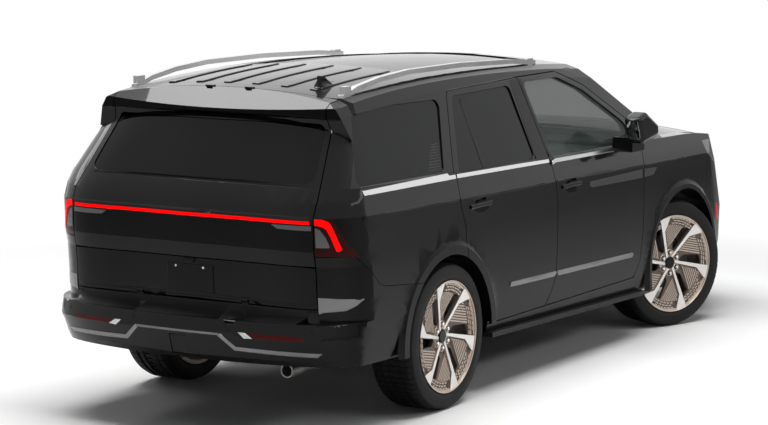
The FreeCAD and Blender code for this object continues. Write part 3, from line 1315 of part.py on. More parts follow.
def make_floor():
    """The cabin's floor with its wells."""
    low, high = s.floor_height - s.floor_thickness, s.floor_height
    tail = -HALF_LENGTH * FLOOR_TAIL_SHARE
    half = s.sill_inner_y - s.seat_gap
    rear_half = REAR_HOUSE_SHARE * SKIN - s.wheelhouse_wall - s.seat_gap
    house = s.rear_arch_radius + s.wheelhouse_wall + s.seat_gap
    floor = block((tail, s.firewall_x), (-half, half), (low, high))
    floor = floor.cut([across_cylinder(REAR_AXLE_X, house, rear_half, SKIN, side) for side in (-1, 1)])
    top = COWL_TOP_SHARE * s.roof_height
    wall = block((s.firewall_x - s.floor_thickness, s.firewall_x), (-half, half), (low, top))
    add("floor_pan", floor.fuse(wall))


FLOOR_TAIL_SHARE = 0.888
COWL_TOP_SHARE = 0.645


def make_seats():
    """The front, second row and third row seats."""
    seats = []
    for x, y in ((FRONT_SEAT_SHARES[0], FRONT_SEAT_SHARES[1]),
                 (SECOND_SEAT_SHARES[0], SECOND_SEAT_SHARES[1])):
        seats.append(seat(x * HALF_LENGTH, y * SKIN, s.seat_width))
    seats += [mirrored(item) for item in seats]
    seats.append(seat(THIRD_SEAT_SHARE * HALF_LENGTH, 0, BENCH_WIDTH_SHARE * SKIN))
    add("seats", Part.makeCompound(seats))


FRONT_SEAT_SHARES = (0.176, 0.400)
SECOND_SEAT_SHARES = (-0.185, 0.400)
THIRD_SEAT_SHARE = -0.520
BENCH_WIDTH_SHARE = 1.20
SEAT_PROFILE_SHARES = [
    (-0.0975, 0.2625), (0.09, 0.2625), (0.0975, 0.378), (0.0937, 0.4567), (-0.0562, 0.4462),
    (-0.1237, 0.6982), (-0.1125, 0.7349), (-0.1237, 0.8189), (-0.15, 0.8215), (-0.1575, 0.7454),
    (-0.1612, 0.7034), (-0.1125, 0.4199),
]


def seat(x, y, width):
    """One seat with its cushion, back and head rest."""
    shares = [(a + x / HALF_LENGTH, b) for a, b in SEAT_PROFILE_SHARES]
    low = -y - width / 2
    under = block((-FAR, FAR), (-FAR, FAR), (0, s.floor_height + s.seat_gap))
    return side_prism(shares, (low, low + width), radius=SEAT_ROUND).cut(under)


SEAT_ROUND = 40
DASH_SHARES = [
    (0.4462, 0.4094), (0.4462, 0.6457), (0.3562, 0.643), (0.3075, 0.5879), (0.3, 0.5249),
    (0.3375, 0.4094),
]


def make_cabin():
    """The dashboard, console and steering wheel."""
    half = DASH_HALF_SHARE * SKIN
    dash = side_prism(DASH_SHARES, (-half, half))
    near_wall = block((s.firewall_x - s.floor_thickness - s.seat_gap, FAR), (-FAR, FAR), (0, FAR))
    add("dashboard", dash.cut(near_wall))
    centre = at(*WHEEL_CENTRE_SHARES)
    column = at(*COLUMN_FOOT_SHARES)
    axis = (centre - column).normalize()
    rim = Part.makeTorus(s.steering_wheel_radius, s.steering_rim_radius, centre, axis)
    hub = Part.makeCylinder(s.steering_rim_radius * 4, s.steering_rim_radius * 2,
                            centre - axis * s.steering_rim_radius, axis)
    across_spoke = rod(centre - Vector(0, s.steering_wheel_radius, 0),
                       centre + Vector(0, s.steering_wheel_radius, 0), s.steering_rim_radius * 0.8)
    shaft = rod(column, centre, s.steering_rim_radius)
    wheel = rim.fuse([hub, across_spoke, shaft])
    add("steering_wheel", wheel.cut(side_prism(DASH_SHARES, grow=s.seat_gap)))


DASH_HALF_SHARE = 0.85
WHEEL_CENTRE_SHARES = (0.2625, 0.3996, 0.5669)
COLUMN_FOOT_SHARES = (0.3142, 0.3996, 0.5328)


def make_engine():
    """The engine, as one plain block at its real place and size."""
    body = new_body("engine_block")
    pad(body, "XZ_Plane", [
        ("0", "0"), ("sizes.engine_length", "0"), ("sizes.engine_length", "sizes.engine_depth"), ("0",
                "sizes.engine_depth"),
    ], "0", "sizes.engine_width")
    bed = CROSS_MEMBER_SHARES[1][1] * s.roof_height + s.rail_width + s.seat_gap
    place(body, s.firewall_x + ENGINE_BACK_SHARE * HALF_LENGTH, 0, bed)


ENGINE_BACK_SHARE = 0.045


def make_suspension():
    """Control arms and knuckles at the front, driven axle and links at the rear."""
    for side, word in ((-1, "right"), (1, "left")):
        pivot_y = side * s.kingpin_spacing / 2
        knuckle = knuckle_shape(side)
        piece = add(f"knuckle_front_{word}", knuckle)
        steered(piece, side, s.front_axle_x, pivot_y, s.axle_height)
    arms = []
    for side in (-1, 1):
        pivot_y = side * s.kingpin_spacing / 2
        frame_y = side * (s.rail_spacing / 2 + s.rail_width / 2 + s.seat_gap)
        for height, spread in ((-s.kingpin_reach - s.ball_joint_height, s.arm_spread),
                               (s.kingpin_reach + s.ball_joint_height, s.arm_spread)):
            z = s.axle_height + height
            ball = Vector(s.front_axle_x, pivot_y, z)
            plate = Part.makeCylinder(s.kingpin_radius, s.ball_joint_height * 2 - s.seat_gap * 2,
                                      ball - Vector(0, 0, s.ball_joint_height - s.seat_gap))
            inner_y = frame_y - side * s.arm_radius
            legs = [rod(Vector(s.front_axle_x + sign * spread, inner_y, z), ball, s.arm_radius)
                    for sign in (-1, 1)]
            inboard = block((0, FAR), tuple(sorted((0, frame_y))), (0, FAR))
            arms.append(plate.fuse(legs).cut(inboard))
    add("front_suspension", Part.makeCompound(arms))
    add("rear_axle", rear_axle())


def knuckle_shape(side):
    """Hub carrier with its kingpin and the brake caliper, about the kingpin at axle height."""
    post = Part.makeCylinder(s.kingpin_radius, 2 * s.kingpin_reach, Vector(0, 0, -s.kingpin_reach))
    hub_y = side * (s.wheel_track / 2 - s.kingpin_spacing / 2 + s.disc_face - s.disc_thickness - s.seat_gap)
    low = min(0, hub_y)
    hub = Part.makeCylinder(s.disc_hat_radius, abs(hub_y), Vector(0, low, 0), Vector(0, 1, 0))
    return post.fuse(hub)


def rear_axle():
    """The rear axle's case, shafts, hubs and springs."""
    y = s.wheel_track / 2 + s.disc_face - s.disc_thickness - s.seat_gap
    shaft = Part.makeCylinder(s.axle_radius, 2 * y, Vector(REAR_AXLE_X, -y, s.axle_height), Vector(0, 1, 0))
    case = Part.makeSphere(s.axle_case_radius, Vector(REAR_AXLE_X, 0, s.axle_height))
    hubs = [Part.makeCylinder(s.disc_hat_radius, s.rail_width,
                              Vector(REAR_AXLE_X, side * (y - s.rail_width / 2) - s.rail_width / 2,
                              s.axle_height), Vector(0, 1, 0)) for side in (-1, 1)]
    rail_bottom = RAIL_SHARES[-4][1] * s.roof_height
    springs = [Part.makeCylinder(s.spring_radius, rail_bottom - s.seat_gap - s.axle_height,
                                 Vector(REAR_AXLE_X, side * s.rail_spacing / 2,
                                 s.axle_height)) for side in (-1, 1)]
    return shaft.fuse([case] + hubs + springs)


def make_exhaust():
    """The exhaust pipe with its silencer, hangers and tail tip."""
    rail_y = s.rail_spacing / 2 + s.rail_width / 2 + s.seat_gap
    can = s.pipe_radius * SILENCER_RADIUS_SHARE
    y = -rail_y - can - s.shut_gap
    points = [Vector(x * HALF_LENGTH, y, z * s.roof_height) for x, z in PIPE_SHARES]
    pipes = [rod(a, b, s.pipe_radius) for a, b in zip(points, points[1:])]
    bends = [Part.makeSphere(s.pipe_radius, point) for point in points[1:-1]]
    silencer = rod(*(Vector(x * HALF_LENGTH, y, points[1].z) for x in SILENCER_SHARES), can)
    tip = rod(points[-1], points[-1] - Vector(4 * s.pipe_radius, 0, 0), s.pipe_radius * TIP_SHARE)
    hangers = []
    for x, low, high in HANGER_SHARES:
        x = x * HALF_LENGTH
        hangers.append(block((x, x + s.pipe_radius), (y, -rail_y),
                             (low * s.roof_height, high * s.roof_height)))
    exhaust = pipes[0].fuse(pipes[1:] + bends + [silencer, tip] + hangers)
    bore = rod(tip_end(points[-1]), points[-1], s.pipe_radius)
    add("exhaust", exhaust.cut(bore))


def tip_end(start):
    """The end of the exhaust's tail tip."""
    return start - Vector(5 * s.pipe_radius, 0, 0)


PIPE_SHARES = [
    (0.3375, 0.1837), (-0.3375, 0.1837), (-0.4874, 0.1669), (-0.6749, 0.1669), (-0.8586, 0.1848),
]
SILENCER_SHARES = (-0.06, -0.27)
SILENCER_RADIUS_SHARE = 2.4
TIP_SHARE = 1.25
HANGER_SHARES = (
    (-0.15, 0.2058, 0.2205),
    (-0.8249, 0.1837, 0.2404),
)


def make_outside():
    """Running boards under the sills and the rails on the roof."""
    low = -BOARD_Y_SHARES[1] * SKIN
    top = [Vector(x * HALF_LENGTH, low, sill_z(x) - s.seat_gap) for x in BOARD_X_SHARES]
    low_line = [p - Vector(0, 0, s.board_thickness) for p in reversed(top)]
    face = Part.Face(Part.makePolygon(top + low_line + top[:1]))
    pair("running_boards", face.extrude(Vector(0, (BOARD_Y_SHARES[1] - BOARD_Y_SHARES[0]) * SKIN, 0)))
    pair("roof_rails", roof_rail())


def sill_z(x_share):
    """Height of the flank's lower edge."""
    return FLANK_SHARES[0][1] * s.roof_height - FLANK_RISE_SHARE * x_share * HALF_LENGTH


def roof_rail():
    """A bar above the roof's edge on three feet that follow the roof."""
    y = -ROOF_RAIL_Y_SHARE * SKIN - s.roof_rail_width / 2
    top = [Vector(x * HALF_LENGTH, y, z * s.roof_height) for x, z in RAIL_TOP_SHARES]
    low = [p - Vector(0, 0, s.roof_rail_height) for p in reversed(top)]
    bar = Part.Face(Part.makePolygon(top + low + top[:1])).extrude(Vector(0, s.roof_rail_width, 0))
    for x in RAIL_FOOT_SHARES:
        start = x * HALF_LENGTH
        foot = block((start, start + 2 * s.roof_rail_width), (y, y + s.roof_rail_width),
                     (s.roof_height * 0.9, s.roof_height * 0.985))
        bar = bar.fuse(foot)
    return clean(bar.cut(upper_body(-s.seat_gap, -s.seat_gap)))


BOARD_X_SHARES = (-0.349, 0.416)
BOARD_Y_SHARES = (0.88, 1.006)
RAIL_TOP_SHARES = [
    (-0.778, 0.9606), (-0.7207, 0.9816), (-0.6314, 0.9979), (-0.5114, 1.0073), (-0.2887, 1.0047),
    (-0.051, 0.9911), (0.06, 0.9774),
]
RAIL_FOOT_SHARES = (-0.772, -0.262, 0.022)
ROOF_RAIL_Y_SHARE = 0.688


def main():
    """Builds the pieces, checks them and writes their files."""
    shell, panes = make_body()
    make_sides(shell, panes)
    make_wheels()
    make_frame()
    make_floor()
    make_seats()
    make_cabin()
    make_engine()
    make_suspension()
    make_exhaust()
    make_outside()
    doc.recompute()
    for item in doc.Objects:
        if {"Invalid", "Error"} & set(item.State):
            raise ValueError(f"{item.Label} could not be built: {item.State}")
    for name, item in parts.items():
        if item.Shape.isNull() or not item.Shape.isValid():
            raise ValueError(f"{name} is not a valid shape")
    for name, item in parts.items():
        item.Shape.exportStep(f"parts/{name}.step")
        print(name, len(item.Shape.Solids), round(item.Shape.Volume / 1e6, 2))


main()
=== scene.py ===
"""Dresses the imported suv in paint, glass, trim, lamps, wheels and seats, in a pale studio."""
import bmesh
import bpy
import json
import math
from mathutils import Matrix, Vector
from mathutils.bvhtree import BVHTree


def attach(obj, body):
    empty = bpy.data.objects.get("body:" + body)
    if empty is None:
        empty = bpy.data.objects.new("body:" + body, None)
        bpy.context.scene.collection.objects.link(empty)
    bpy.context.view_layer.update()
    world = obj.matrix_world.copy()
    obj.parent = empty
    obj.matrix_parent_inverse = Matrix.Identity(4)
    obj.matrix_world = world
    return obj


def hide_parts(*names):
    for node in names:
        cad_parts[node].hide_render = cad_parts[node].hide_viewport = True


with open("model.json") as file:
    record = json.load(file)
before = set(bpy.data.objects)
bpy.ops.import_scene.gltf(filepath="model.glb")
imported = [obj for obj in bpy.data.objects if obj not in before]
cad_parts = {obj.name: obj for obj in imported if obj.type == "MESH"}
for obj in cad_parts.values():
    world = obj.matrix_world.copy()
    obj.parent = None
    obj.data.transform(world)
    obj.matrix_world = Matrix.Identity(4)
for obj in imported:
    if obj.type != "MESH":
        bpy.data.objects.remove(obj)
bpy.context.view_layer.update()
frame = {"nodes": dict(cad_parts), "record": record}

MM = 0.001
RIGHT, LEFT = -1, 1
SIDES = ((RIGHT, "right"), (LEFT, "left"))
BODY_OF = {node: body for body, nodes in frame["record"]["behaviour"]["bodies"].items() for node in nodes}


# Shader maths

class Value:
    """A number in a material's tree, on which Python's operators add Math nodes."""

    def __init__(self, shader, socket):
        self.shader, self.socket = shader, socket

    def math(self, operation, *others):
        """The result of a Math node on this number and others."""
        sockets = [other.socket if isinstance(other, Value) else other for other in others]
        return self.shader.node("ShaderNodeMath", {"operation": operation}, [self.socket, *sockets])

    def __add__(self, other):
        return self.math("ADD", other)

    def __sub__(self, other):
        return self.math("SUBTRACT", other)

    def __mul__(self, other):
        return self.math("MULTIPLY", other)

    def __truediv__(self, other):
        return self.math("DIVIDE", other)

    def __rsub__(self, other):
        return (self * -1) + other

    __radd__ = __add__
    __rmul__ = __mul__

    def above(self, level):
        """One where the number is over a level, and nought elsewhere."""
        return self.math("GREATER_THAN", level)

    def wave(self):
        """The sine of the number."""
        return self.math("SINE")

    def clamped(self):
        """The number held between nought and one."""
        return self.math("MINIMUM", 1.0).math("MAXIMUM", 0.0)


class Shader:
    """A material with one Principled surface and a method that adds any other node."""

    def __init__(self, name, color, **sockets):
        self.material = bpy.data.materials.new(name)
        self.material.use_nodes = True
        self.tree = self.material.node_tree
        self.surface = self.tree.nodes["Principled BSDF"]
        self.surface.inputs["Base Color"].default_value = (*color, 1)
        for key, value in sockets.items():
            self.surface.inputs[key.replace("_", " ")].default_value = value
        self.material.diffuse_color = (*color, 1)

    def node(self, kind, settings=None, inputs=(), output=0):
        """Adds a node with its settings and inputs, and gives one of its outputs."""
        made = self.tree.nodes.new(kind)
        for key, value in (settings or {}).items():
            setattr(made, key, value)
        pairs = inputs.items() if isinstance(inputs, dict) else enumerate(inputs)
        for key, value in pairs:
            value = value.socket if isinstance(value, Value) else value
            if isinstance(value, bpy.types.NodeSocket):
                self.tree.links.new(value, made.inputs[key])
            else:
                made.inputs[key].default_value = value
        return Value(self, made.outputs[output])

    def place(self):
        """The three coordinates of a point on the piece, in metres in the frame's axes."""
        where = self.node("ShaderNodeTexCoord", output="Object")
        return [self.node("ShaderNodeSeparateXYZ", inputs=[where], output=axis) for axis in "XYZ"], where

    def feed(self, socket, value):
        """Links a number or colour to a socket of the surface."""
        self.tree.links.new(value.socket, self.surface.inputs[socket])

    def mix(self, factor, first, second):
        """A colour between two, by a factor."""
        settings = {"data_type": "RGBA"}
        return self.node("ShaderNodeMix", settings, {0: factor, 6: (*first, 1), 7: (*second, 1)}, output=2)

    def bump(self, height, distance):
        """Raises the surface by a height from 0 to 1 times a distance in metres."""
        made = self.node("ShaderNodeBump", inputs={"Height": height, "Distance": distance})
        self.feed("Normal", made)

    def noise(self, size, detail=3.0):
        """Noise from 0 to 1 with features of a size in metres."""
        _, where = self.place()
        return self.node("ShaderNodeTexNoise", inputs={"Vector": where, "Scale": 1 / size,
                                                       "Detail": detail})


def grained(shader, size, depth):
    """Fine moulded grain on plastic, leather and carpet."""
    shader.bump(shader.noise(size), depth)
    return shader


def worn(shader, low, high, size=0.12):
    """A roughness that drifts a little over the surface, as polish and dust leave it."""
    shader.feed("Roughness", shader.noise(size, 4.0) * (high - low) + low)
    return shader


def glass(name, color, alpha):
    """A smooth tinted pane that shows what is behind it by what its alpha leaves."""
    shader = Shader(name, color, Roughness=0.02, IOR=1.27)
    shader.surface.inputs["Alpha"].default_value = alpha
    return shader


def ribbed(shader, pitch, depth, axis=1):
    """Fine optic ribs across a lens."""
    place, _ = shader.place()
    shader.bump((place[axis] * (2 * math.pi / pitch)).wave(), depth)
    return shader


def gridded(shader, pitch, depth):
    """The small pyramids of a reflector or a lit lens."""
    place, _ = shader.place()
    waves = (place[1] * (2 * math.pi / pitch)).wave() * (place[2] * (2 * math.pi / pitch)).wave()
    shader.bump(waves, depth)
    return shader


MATERIALS = {}


def finish(name):
    """The material of a finish."""
    return MATERIALS[name].material


# The tail lamps' slanted outer edge: half width, height and slope
LAMP_EDGE = (0.968, 1.026)
LAMP_EDGE_SLOPE = 0.43

# The flanks, whose coat is made to reflect less, as painted shade that darkens the lower sides: from a half
# width, and below a height, in metres
FLANK_FROM, FLANK_FADE = 0.9, 0.08
FLANK_TOP, FLANK_TOP_FADE = 1.2, 0.2
FLANK_PAINTED_SHADE = 0.6


def make_materials():
    """Makes all finishes, each under its name."""
    made = MATERIALS
    paint = worn(Shader("black paint", (0.0030, 0.0030, 0.0034), Coat_Roughness=0.02, Coat_IOR=1.24,
                        Specular_IOR_Level=0.05), 0.26, 0.34, 0.5)
    (_, y, z), _ = paint.place()
    outward = (y.math("ABSOLUTE") - FLANK_FROM) / FLANK_FADE
    downward = (FLANK_TOP - z) / FLANK_TOP_FADE
    # Painted shade: the coat's weight drops on the lower flanks, so they reflect less of the white and read
    # darker.
    paint.feed("Coat Weight", 1.0 - outward.clamped() * downward.clamped() * FLANK_PAINTED_SHADE)
    made["paint"] = paint
    made["black_trim"] = grained(Shader("grained black plastic", (0.006, 0.006, 0.0065), Roughness=0.55,
                                             Specular_IOR_Level=0.25), 0.0015, 0.0001)
    made["gloss_trim"] = worn(Shader("piano black", (0.003, 0.003, 0.0034), IOR=1.27), 0.05, 0.12)
    made["tinted_glass"] = glass("dark tinted glass", (0.003, 0.0035, 0.0035), 0.95)
    made["clear_glass"] = glass("green tinted glass", (0.035, 0.05, 0.046), 0.42)
    lens = gridded(Shader("red lens", (0.028, 0.0006, 0.0006), Roughness=0.08, IOR=1.2), 0.006, 0.0004)
    (_, y, z), _ = lens.place()
    outside = (y.math("ABSOLUTE") + (z - LAMP_EDGE[1]) * LAMP_EDGE_SLOPE).above(LAMP_EDGE[0])
    lens.feed("Base Color", lens.mix(outside, (0.035, 0.0006, 0.0006), (0.003, 0.003, 0.0034)))
    made["red_lens"] = lens
    made["reflector"] = gridded(Shader("red reflector", (0.10, 0.003, 0.003), Roughness=0.12, IOR=1.2),
                                0.006, 0.0004)
    made["smoked_lens"] = ribbed(Shader("smoked lens", (0.018, 0.014, 0.013), Roughness=0.12, IOR=1.3),
                                 0.004, 0.0002)
    made["lit_red"] = gridded(Shader("lit red lens", (0.5, 0.001, 0.001), Roughness=0.3, IOR=1.1,
                                     Emission_Color=(1, 0.002, 0.002,
                                                     1), Emission_Strength=1.0), 0.005, 0.0003)
    made["lamp_lens"] = ribbed(Shader("clear lens", (0.16, 0.165, 0.17), Roughness=0.1, Metallic=0.3),
                               0.005, 0.0003)
    made["lit_white"] = Shader("lit white lens", (0.8, 0.8, 0.8), Roughness=0.2,
                               Emission_Color=(1, 1, 1, 1),
                               Emission_Strength=0.6)
    made["bright"] = worn(Shader("satin bright metal", (0.72, 0.72, 0.73), Metallic=1.0), 0.2, 0.3)
    made["satin"] = worn(Shader("satin grey metal", (0.20, 0.20, 0.205), Metallic=1.0), 0.25, 0.35)
    made["dark_chrome"] = worn(Shader("dark satin metal", (0.09, 0.09, 0.094), Metallic=1.0), 0.25, 0.35)
    made["tyre"] = grained(Shader("tyre rubber", (0.005, 0.005, 0.005), Roughness=0.6,
                                        Specular_IOR_Level=0.2), 0.001, 0.00015)
    made["rim"] = worn(Shader("bronze wheel paint", (0.50, 0.42, 0.36), Metallic=0.85), 0.3, 0.42, 0.03)
    # The pockets' floors: the bronze paint darkened as painted shade, for the shade down between the blades
    # and ridges.
    made["rim_shade"] = worn(Shader("painted shade bronze wheel paint", (0.12, 0.092, 0.075), Metallic=0.7), 0.4,
                             0.5, 0.03)
    made["machined"] = worn(Shader("machined bright metal", (0.68, 0.66, 0.64), Metallic=1.0), 0.28, 0.38,
                            0.04)
    made["steel"] = worn(Shader("black coated steel", (0.02, 0.02, 0.021), Metallic=0.3), 0.45, 0.7)
    made["cabin"] = grained(Shader("dark leather", (0.02, 0.018, 0.017), Roughness=0.5), 0.002, 0.0002)
    made["carpet"] = grained(Shader("carpet", (0.012, 0.012, 0.012), Roughness=0.95), 0.003, 0.0005)
    made["silencer"] = worn(Shader("dull exhaust steel", (0.20, 0.195, 0.19), Metallic=0.9), 0.3, 0.55,
                            0.06)
    made["mirror"] = Shader("mirror glass", (0.30, 0.31, 0.32), Metallic=1.0, Roughness=0.03)


NODE_FINISHES = {"light_bar": "smoked_lens"}


def dress_nodes():
    """Gives every CAD node the finish of its slot."""
    for entry in frame["record"]["subparts"]:
        node = frame["nodes"][entry["node"]]
        node.data.materials.clear()
        node.data.materials.append(finish(NODE_FINISHES.get(entry["node"], entry["material_slot"])))


# Pieces

SMOOTH_ANGLE = math.radians(12)
MERGE = 0.01 * MM


def make_piece(bm, name, body, *materials, angle=SMOOTH_ANGLE):
    """A finished piece, merged, facing outward and riding on a body."""
    bmesh.ops.remove_doubles(bm, verts=bm.verts, dist=MERGE)
    bmesh.ops.recalc_face_normals(bm, faces=bm.faces)
    mesh = bpy.data.meshes.new(name)
    bm.to_mesh(mesh)
    bm.free()
    mesh.shade_smooth()
    mesh.set_sharp_from_angle(angle=angle)
    for material in materials:
        mesh.materials.append(finish(material))
    piece = bpy.data.objects.new(name, mesh)
    bpy.context.collection.objects.link(piece)
    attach(piece, body)
    return piece


def smooth_copy(node):
    """A merged, smooth shaded copy of a node's loose triangles, riding in its place."""
    source = frame["nodes"][node]
    mesh = source.data.copy()
    bm = bmesh.new()
    bm.from_mesh(mesh)
    bmesh.ops.remove_doubles(bm, verts=bm.verts, dist=MERGE)
    bm.to_mesh(mesh)
    bm.free()
    mesh.shade_smooth()
    mesh.set_sharp_from_angle(angle=SMOOTH_ANGLE)
    piece = bpy.data.objects.new(f"{node}_skin", mesh)
    bpy.context.collection.objects.link(piece)
    even = piece.modifiers.new("even_light", "WEIGHTED_NORMAL")
    even.weight = 100
    even.keep_sharp = True
    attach(piece, BODY_OF[node])
    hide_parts(node)
    return piece


def bevel_edges(bm, width, steepest=math.radians(40), segments=2):
    """Rounds the edges of a bmesh that are sharper than an angle."""
    bmesh.ops.recalc_face_normals(bm, faces=bm.faces)
    edges = [edge for edge in bm.edges if len(edge.link_faces) == 2 and edge.calc_face_angle(0) > steepest]
    bmesh.ops.bevel(bm, geom=edges, offset=width * MM, segments=segments, profile=0.5, affect="EDGES",
                    material=-1)


def add_block(bm, low, high):
    """Adds a box between two corners in millimetres, and returns its vertices."""
    low, high = Vector(low) * MM, Vector(high) * MM
    made = bmesh.ops.create_cube(bm, size=1)["verts"]
    bmesh.ops.scale(bm, verts=made, vec=high - low)
    bmesh.ops.translate(bm, verts=made, vec=(low + high) / 2)
    return made


def add_outline(bm, outline, low, high):
    """Adds a flat outline in millimetres, pushed from one height to another, and returns its vertices."""
    corners = [bm.verts.new((x * MM, y * MM, low * MM)) for x, y in outline]
    face = bm.faces.new(corners)
    pushed = bmesh.ops.extrude_face_region(bm, geom=[face], use_keep_orig=True)["geom"]
    upper = [item for item in pushed if isinstance(item, bmesh.types.BMVert)]
    bmesh.ops.translate(bm, verts=upper, vec=(0, 0, (high - low) * MM))
    return corners + upper


def add_ring(bm, profile, steps):
    """Spins a closed profile of radii and heights in millimetres about the z axis."""
    corners = [bm.verts.new((radius * MM, 0, height * MM)) for radius, height in profile]
    edges = [bm.edges.new((corners[i - 1], corners[i])) for i in range(len(corners))]
    bmesh.ops.spin(bm, geom=corners + edges, axis=(0, 0, 1), cent=(0, 0, 0), angle=2 * math.pi, steps=steps,
                   use_merge=True)


# Trim laid on the body's skin

# Metres at which a view's rays start, clear of the car
FAR = 4.0


class Skin:
    """The outer surface of some nodes, on which trim is laid."""

    def __init__(self, nodes):
        points, faces = [], []
        for node in nodes:
            mesh = frame["nodes"][node].data
            start = len(points)
            points += [vertex.co.copy() for vertex in mesh.vertices]
            faces += [[start + i for i in face.vertices] for face in mesh.polygons]
        self.tree = BVHTree.FromPolygons(points, faces)

    def land(self, place, ahead):
        """Where a ray lands on the skin, or the nearest point of it if it misses."""
        hit = self.tree.ray_cast(place, ahead)[0]
        if hit is None:
            hit = self.tree.find_nearest(place + ahead * (FAR - 1))[0]
        return hit


def look(view, side, u, v):
    """The start and the way of a view's ray, for a point of an outline drawn for the right side."""
    if view == "side":
        return Vector((u, side * FAR, v)), Vector((0, -side, 0))
    if view == "rear":
        return Vector((-FAR, -side * u, v)), Vector((1, 0, 0))
    if view == "front":
        return Vector((FAR, -side * u, v)), Vector((-1, 0, 0))
    return Vector((v, -side * u, FAR)), Vector((0, 0, -1))


def slice_flat(bm, cell):
    """Cuts a flat mesh into cells, so that it can follow a curved skin."""
    for axis in (0, 1):
        places = [vert.co[axis] for vert in bm.verts]
        low, high = min(places), max(places)
        count = int((high - low) / (cell * MM))
        for i in range(1, count + 1):
            cut = Vector((0, 0, 0))
            cut[axis] = low + (high - low) * i / (count + 1)
            normal = Vector((0, 0, 0))
            normal[axis] = 1
            bmesh.ops.bisect_plane(bm, geom=bm.verts[:] + bm.edges[:] + bm.faces[:], dist=MERGE / 10,
                                   plane_co=cut, plane_no=normal)


def land_between(skin, view, side, u, v, between):
    """A point of the skin, or of the line through two other heights where a recess or step is in the way."""
    if not between:
        return skin.land(*look(view, side, u, v))
    low, high = (height * MM for height in between)
    first, second = skin.land(*look(view, side, u, low)), skin.land(*look(view, side, u, high))
    return first + (second - first) * ((v - low) / (high - low))


def lay(name, view, side, nodes, body, material, outline, lift, depth, bevel=0, *between, cell=45):
    """Lays a piece of trim with an outline in millimetres on the nodes' skin, standing proud by a lift."""
    skin = Skin(nodes)
    bm = bmesh.new()
    bm.faces.new([bm.verts.new((u * MM, v * MM, 0)) for u, v in outline])
    bmesh.ops.triangulate(bm, faces=bm.faces)
    slice_flat(bm, cell)
    ahead = look(view, side, 0, 0)[1]
    for vert in bm.verts:
        vert.co = land_between(skin, view, side, vert.co.x, vert.co.y, between) - ahead * lift * MM
    sunk = bmesh.ops.extrude_face_region(bm, geom=bm.faces[:], use_keep_orig=True)["geom"]
    verts = [item for item in sunk if isinstance(item, bmesh.types.BMVert)]
    bmesh.ops.translate(bm, verts=verts, vec=ahead * (lift + depth) * MM)
    if bevel:
        bevel_edges(bm, bevel, math.radians(50))
    return make_piece(bm, name, body, material)


LOW_STRIP = (5, 4, 2)
SENSOR_RADIUS = 12


def oval(x, z, long, high, steps=24):
    """An oval outline round a middle, with its two half widths."""
    turns = [2 * math.pi * i / steps for i in range(steps)]
    return tuple((x + long * math.cos(turn), z + high * math.sin(turn)) for turn in turns)


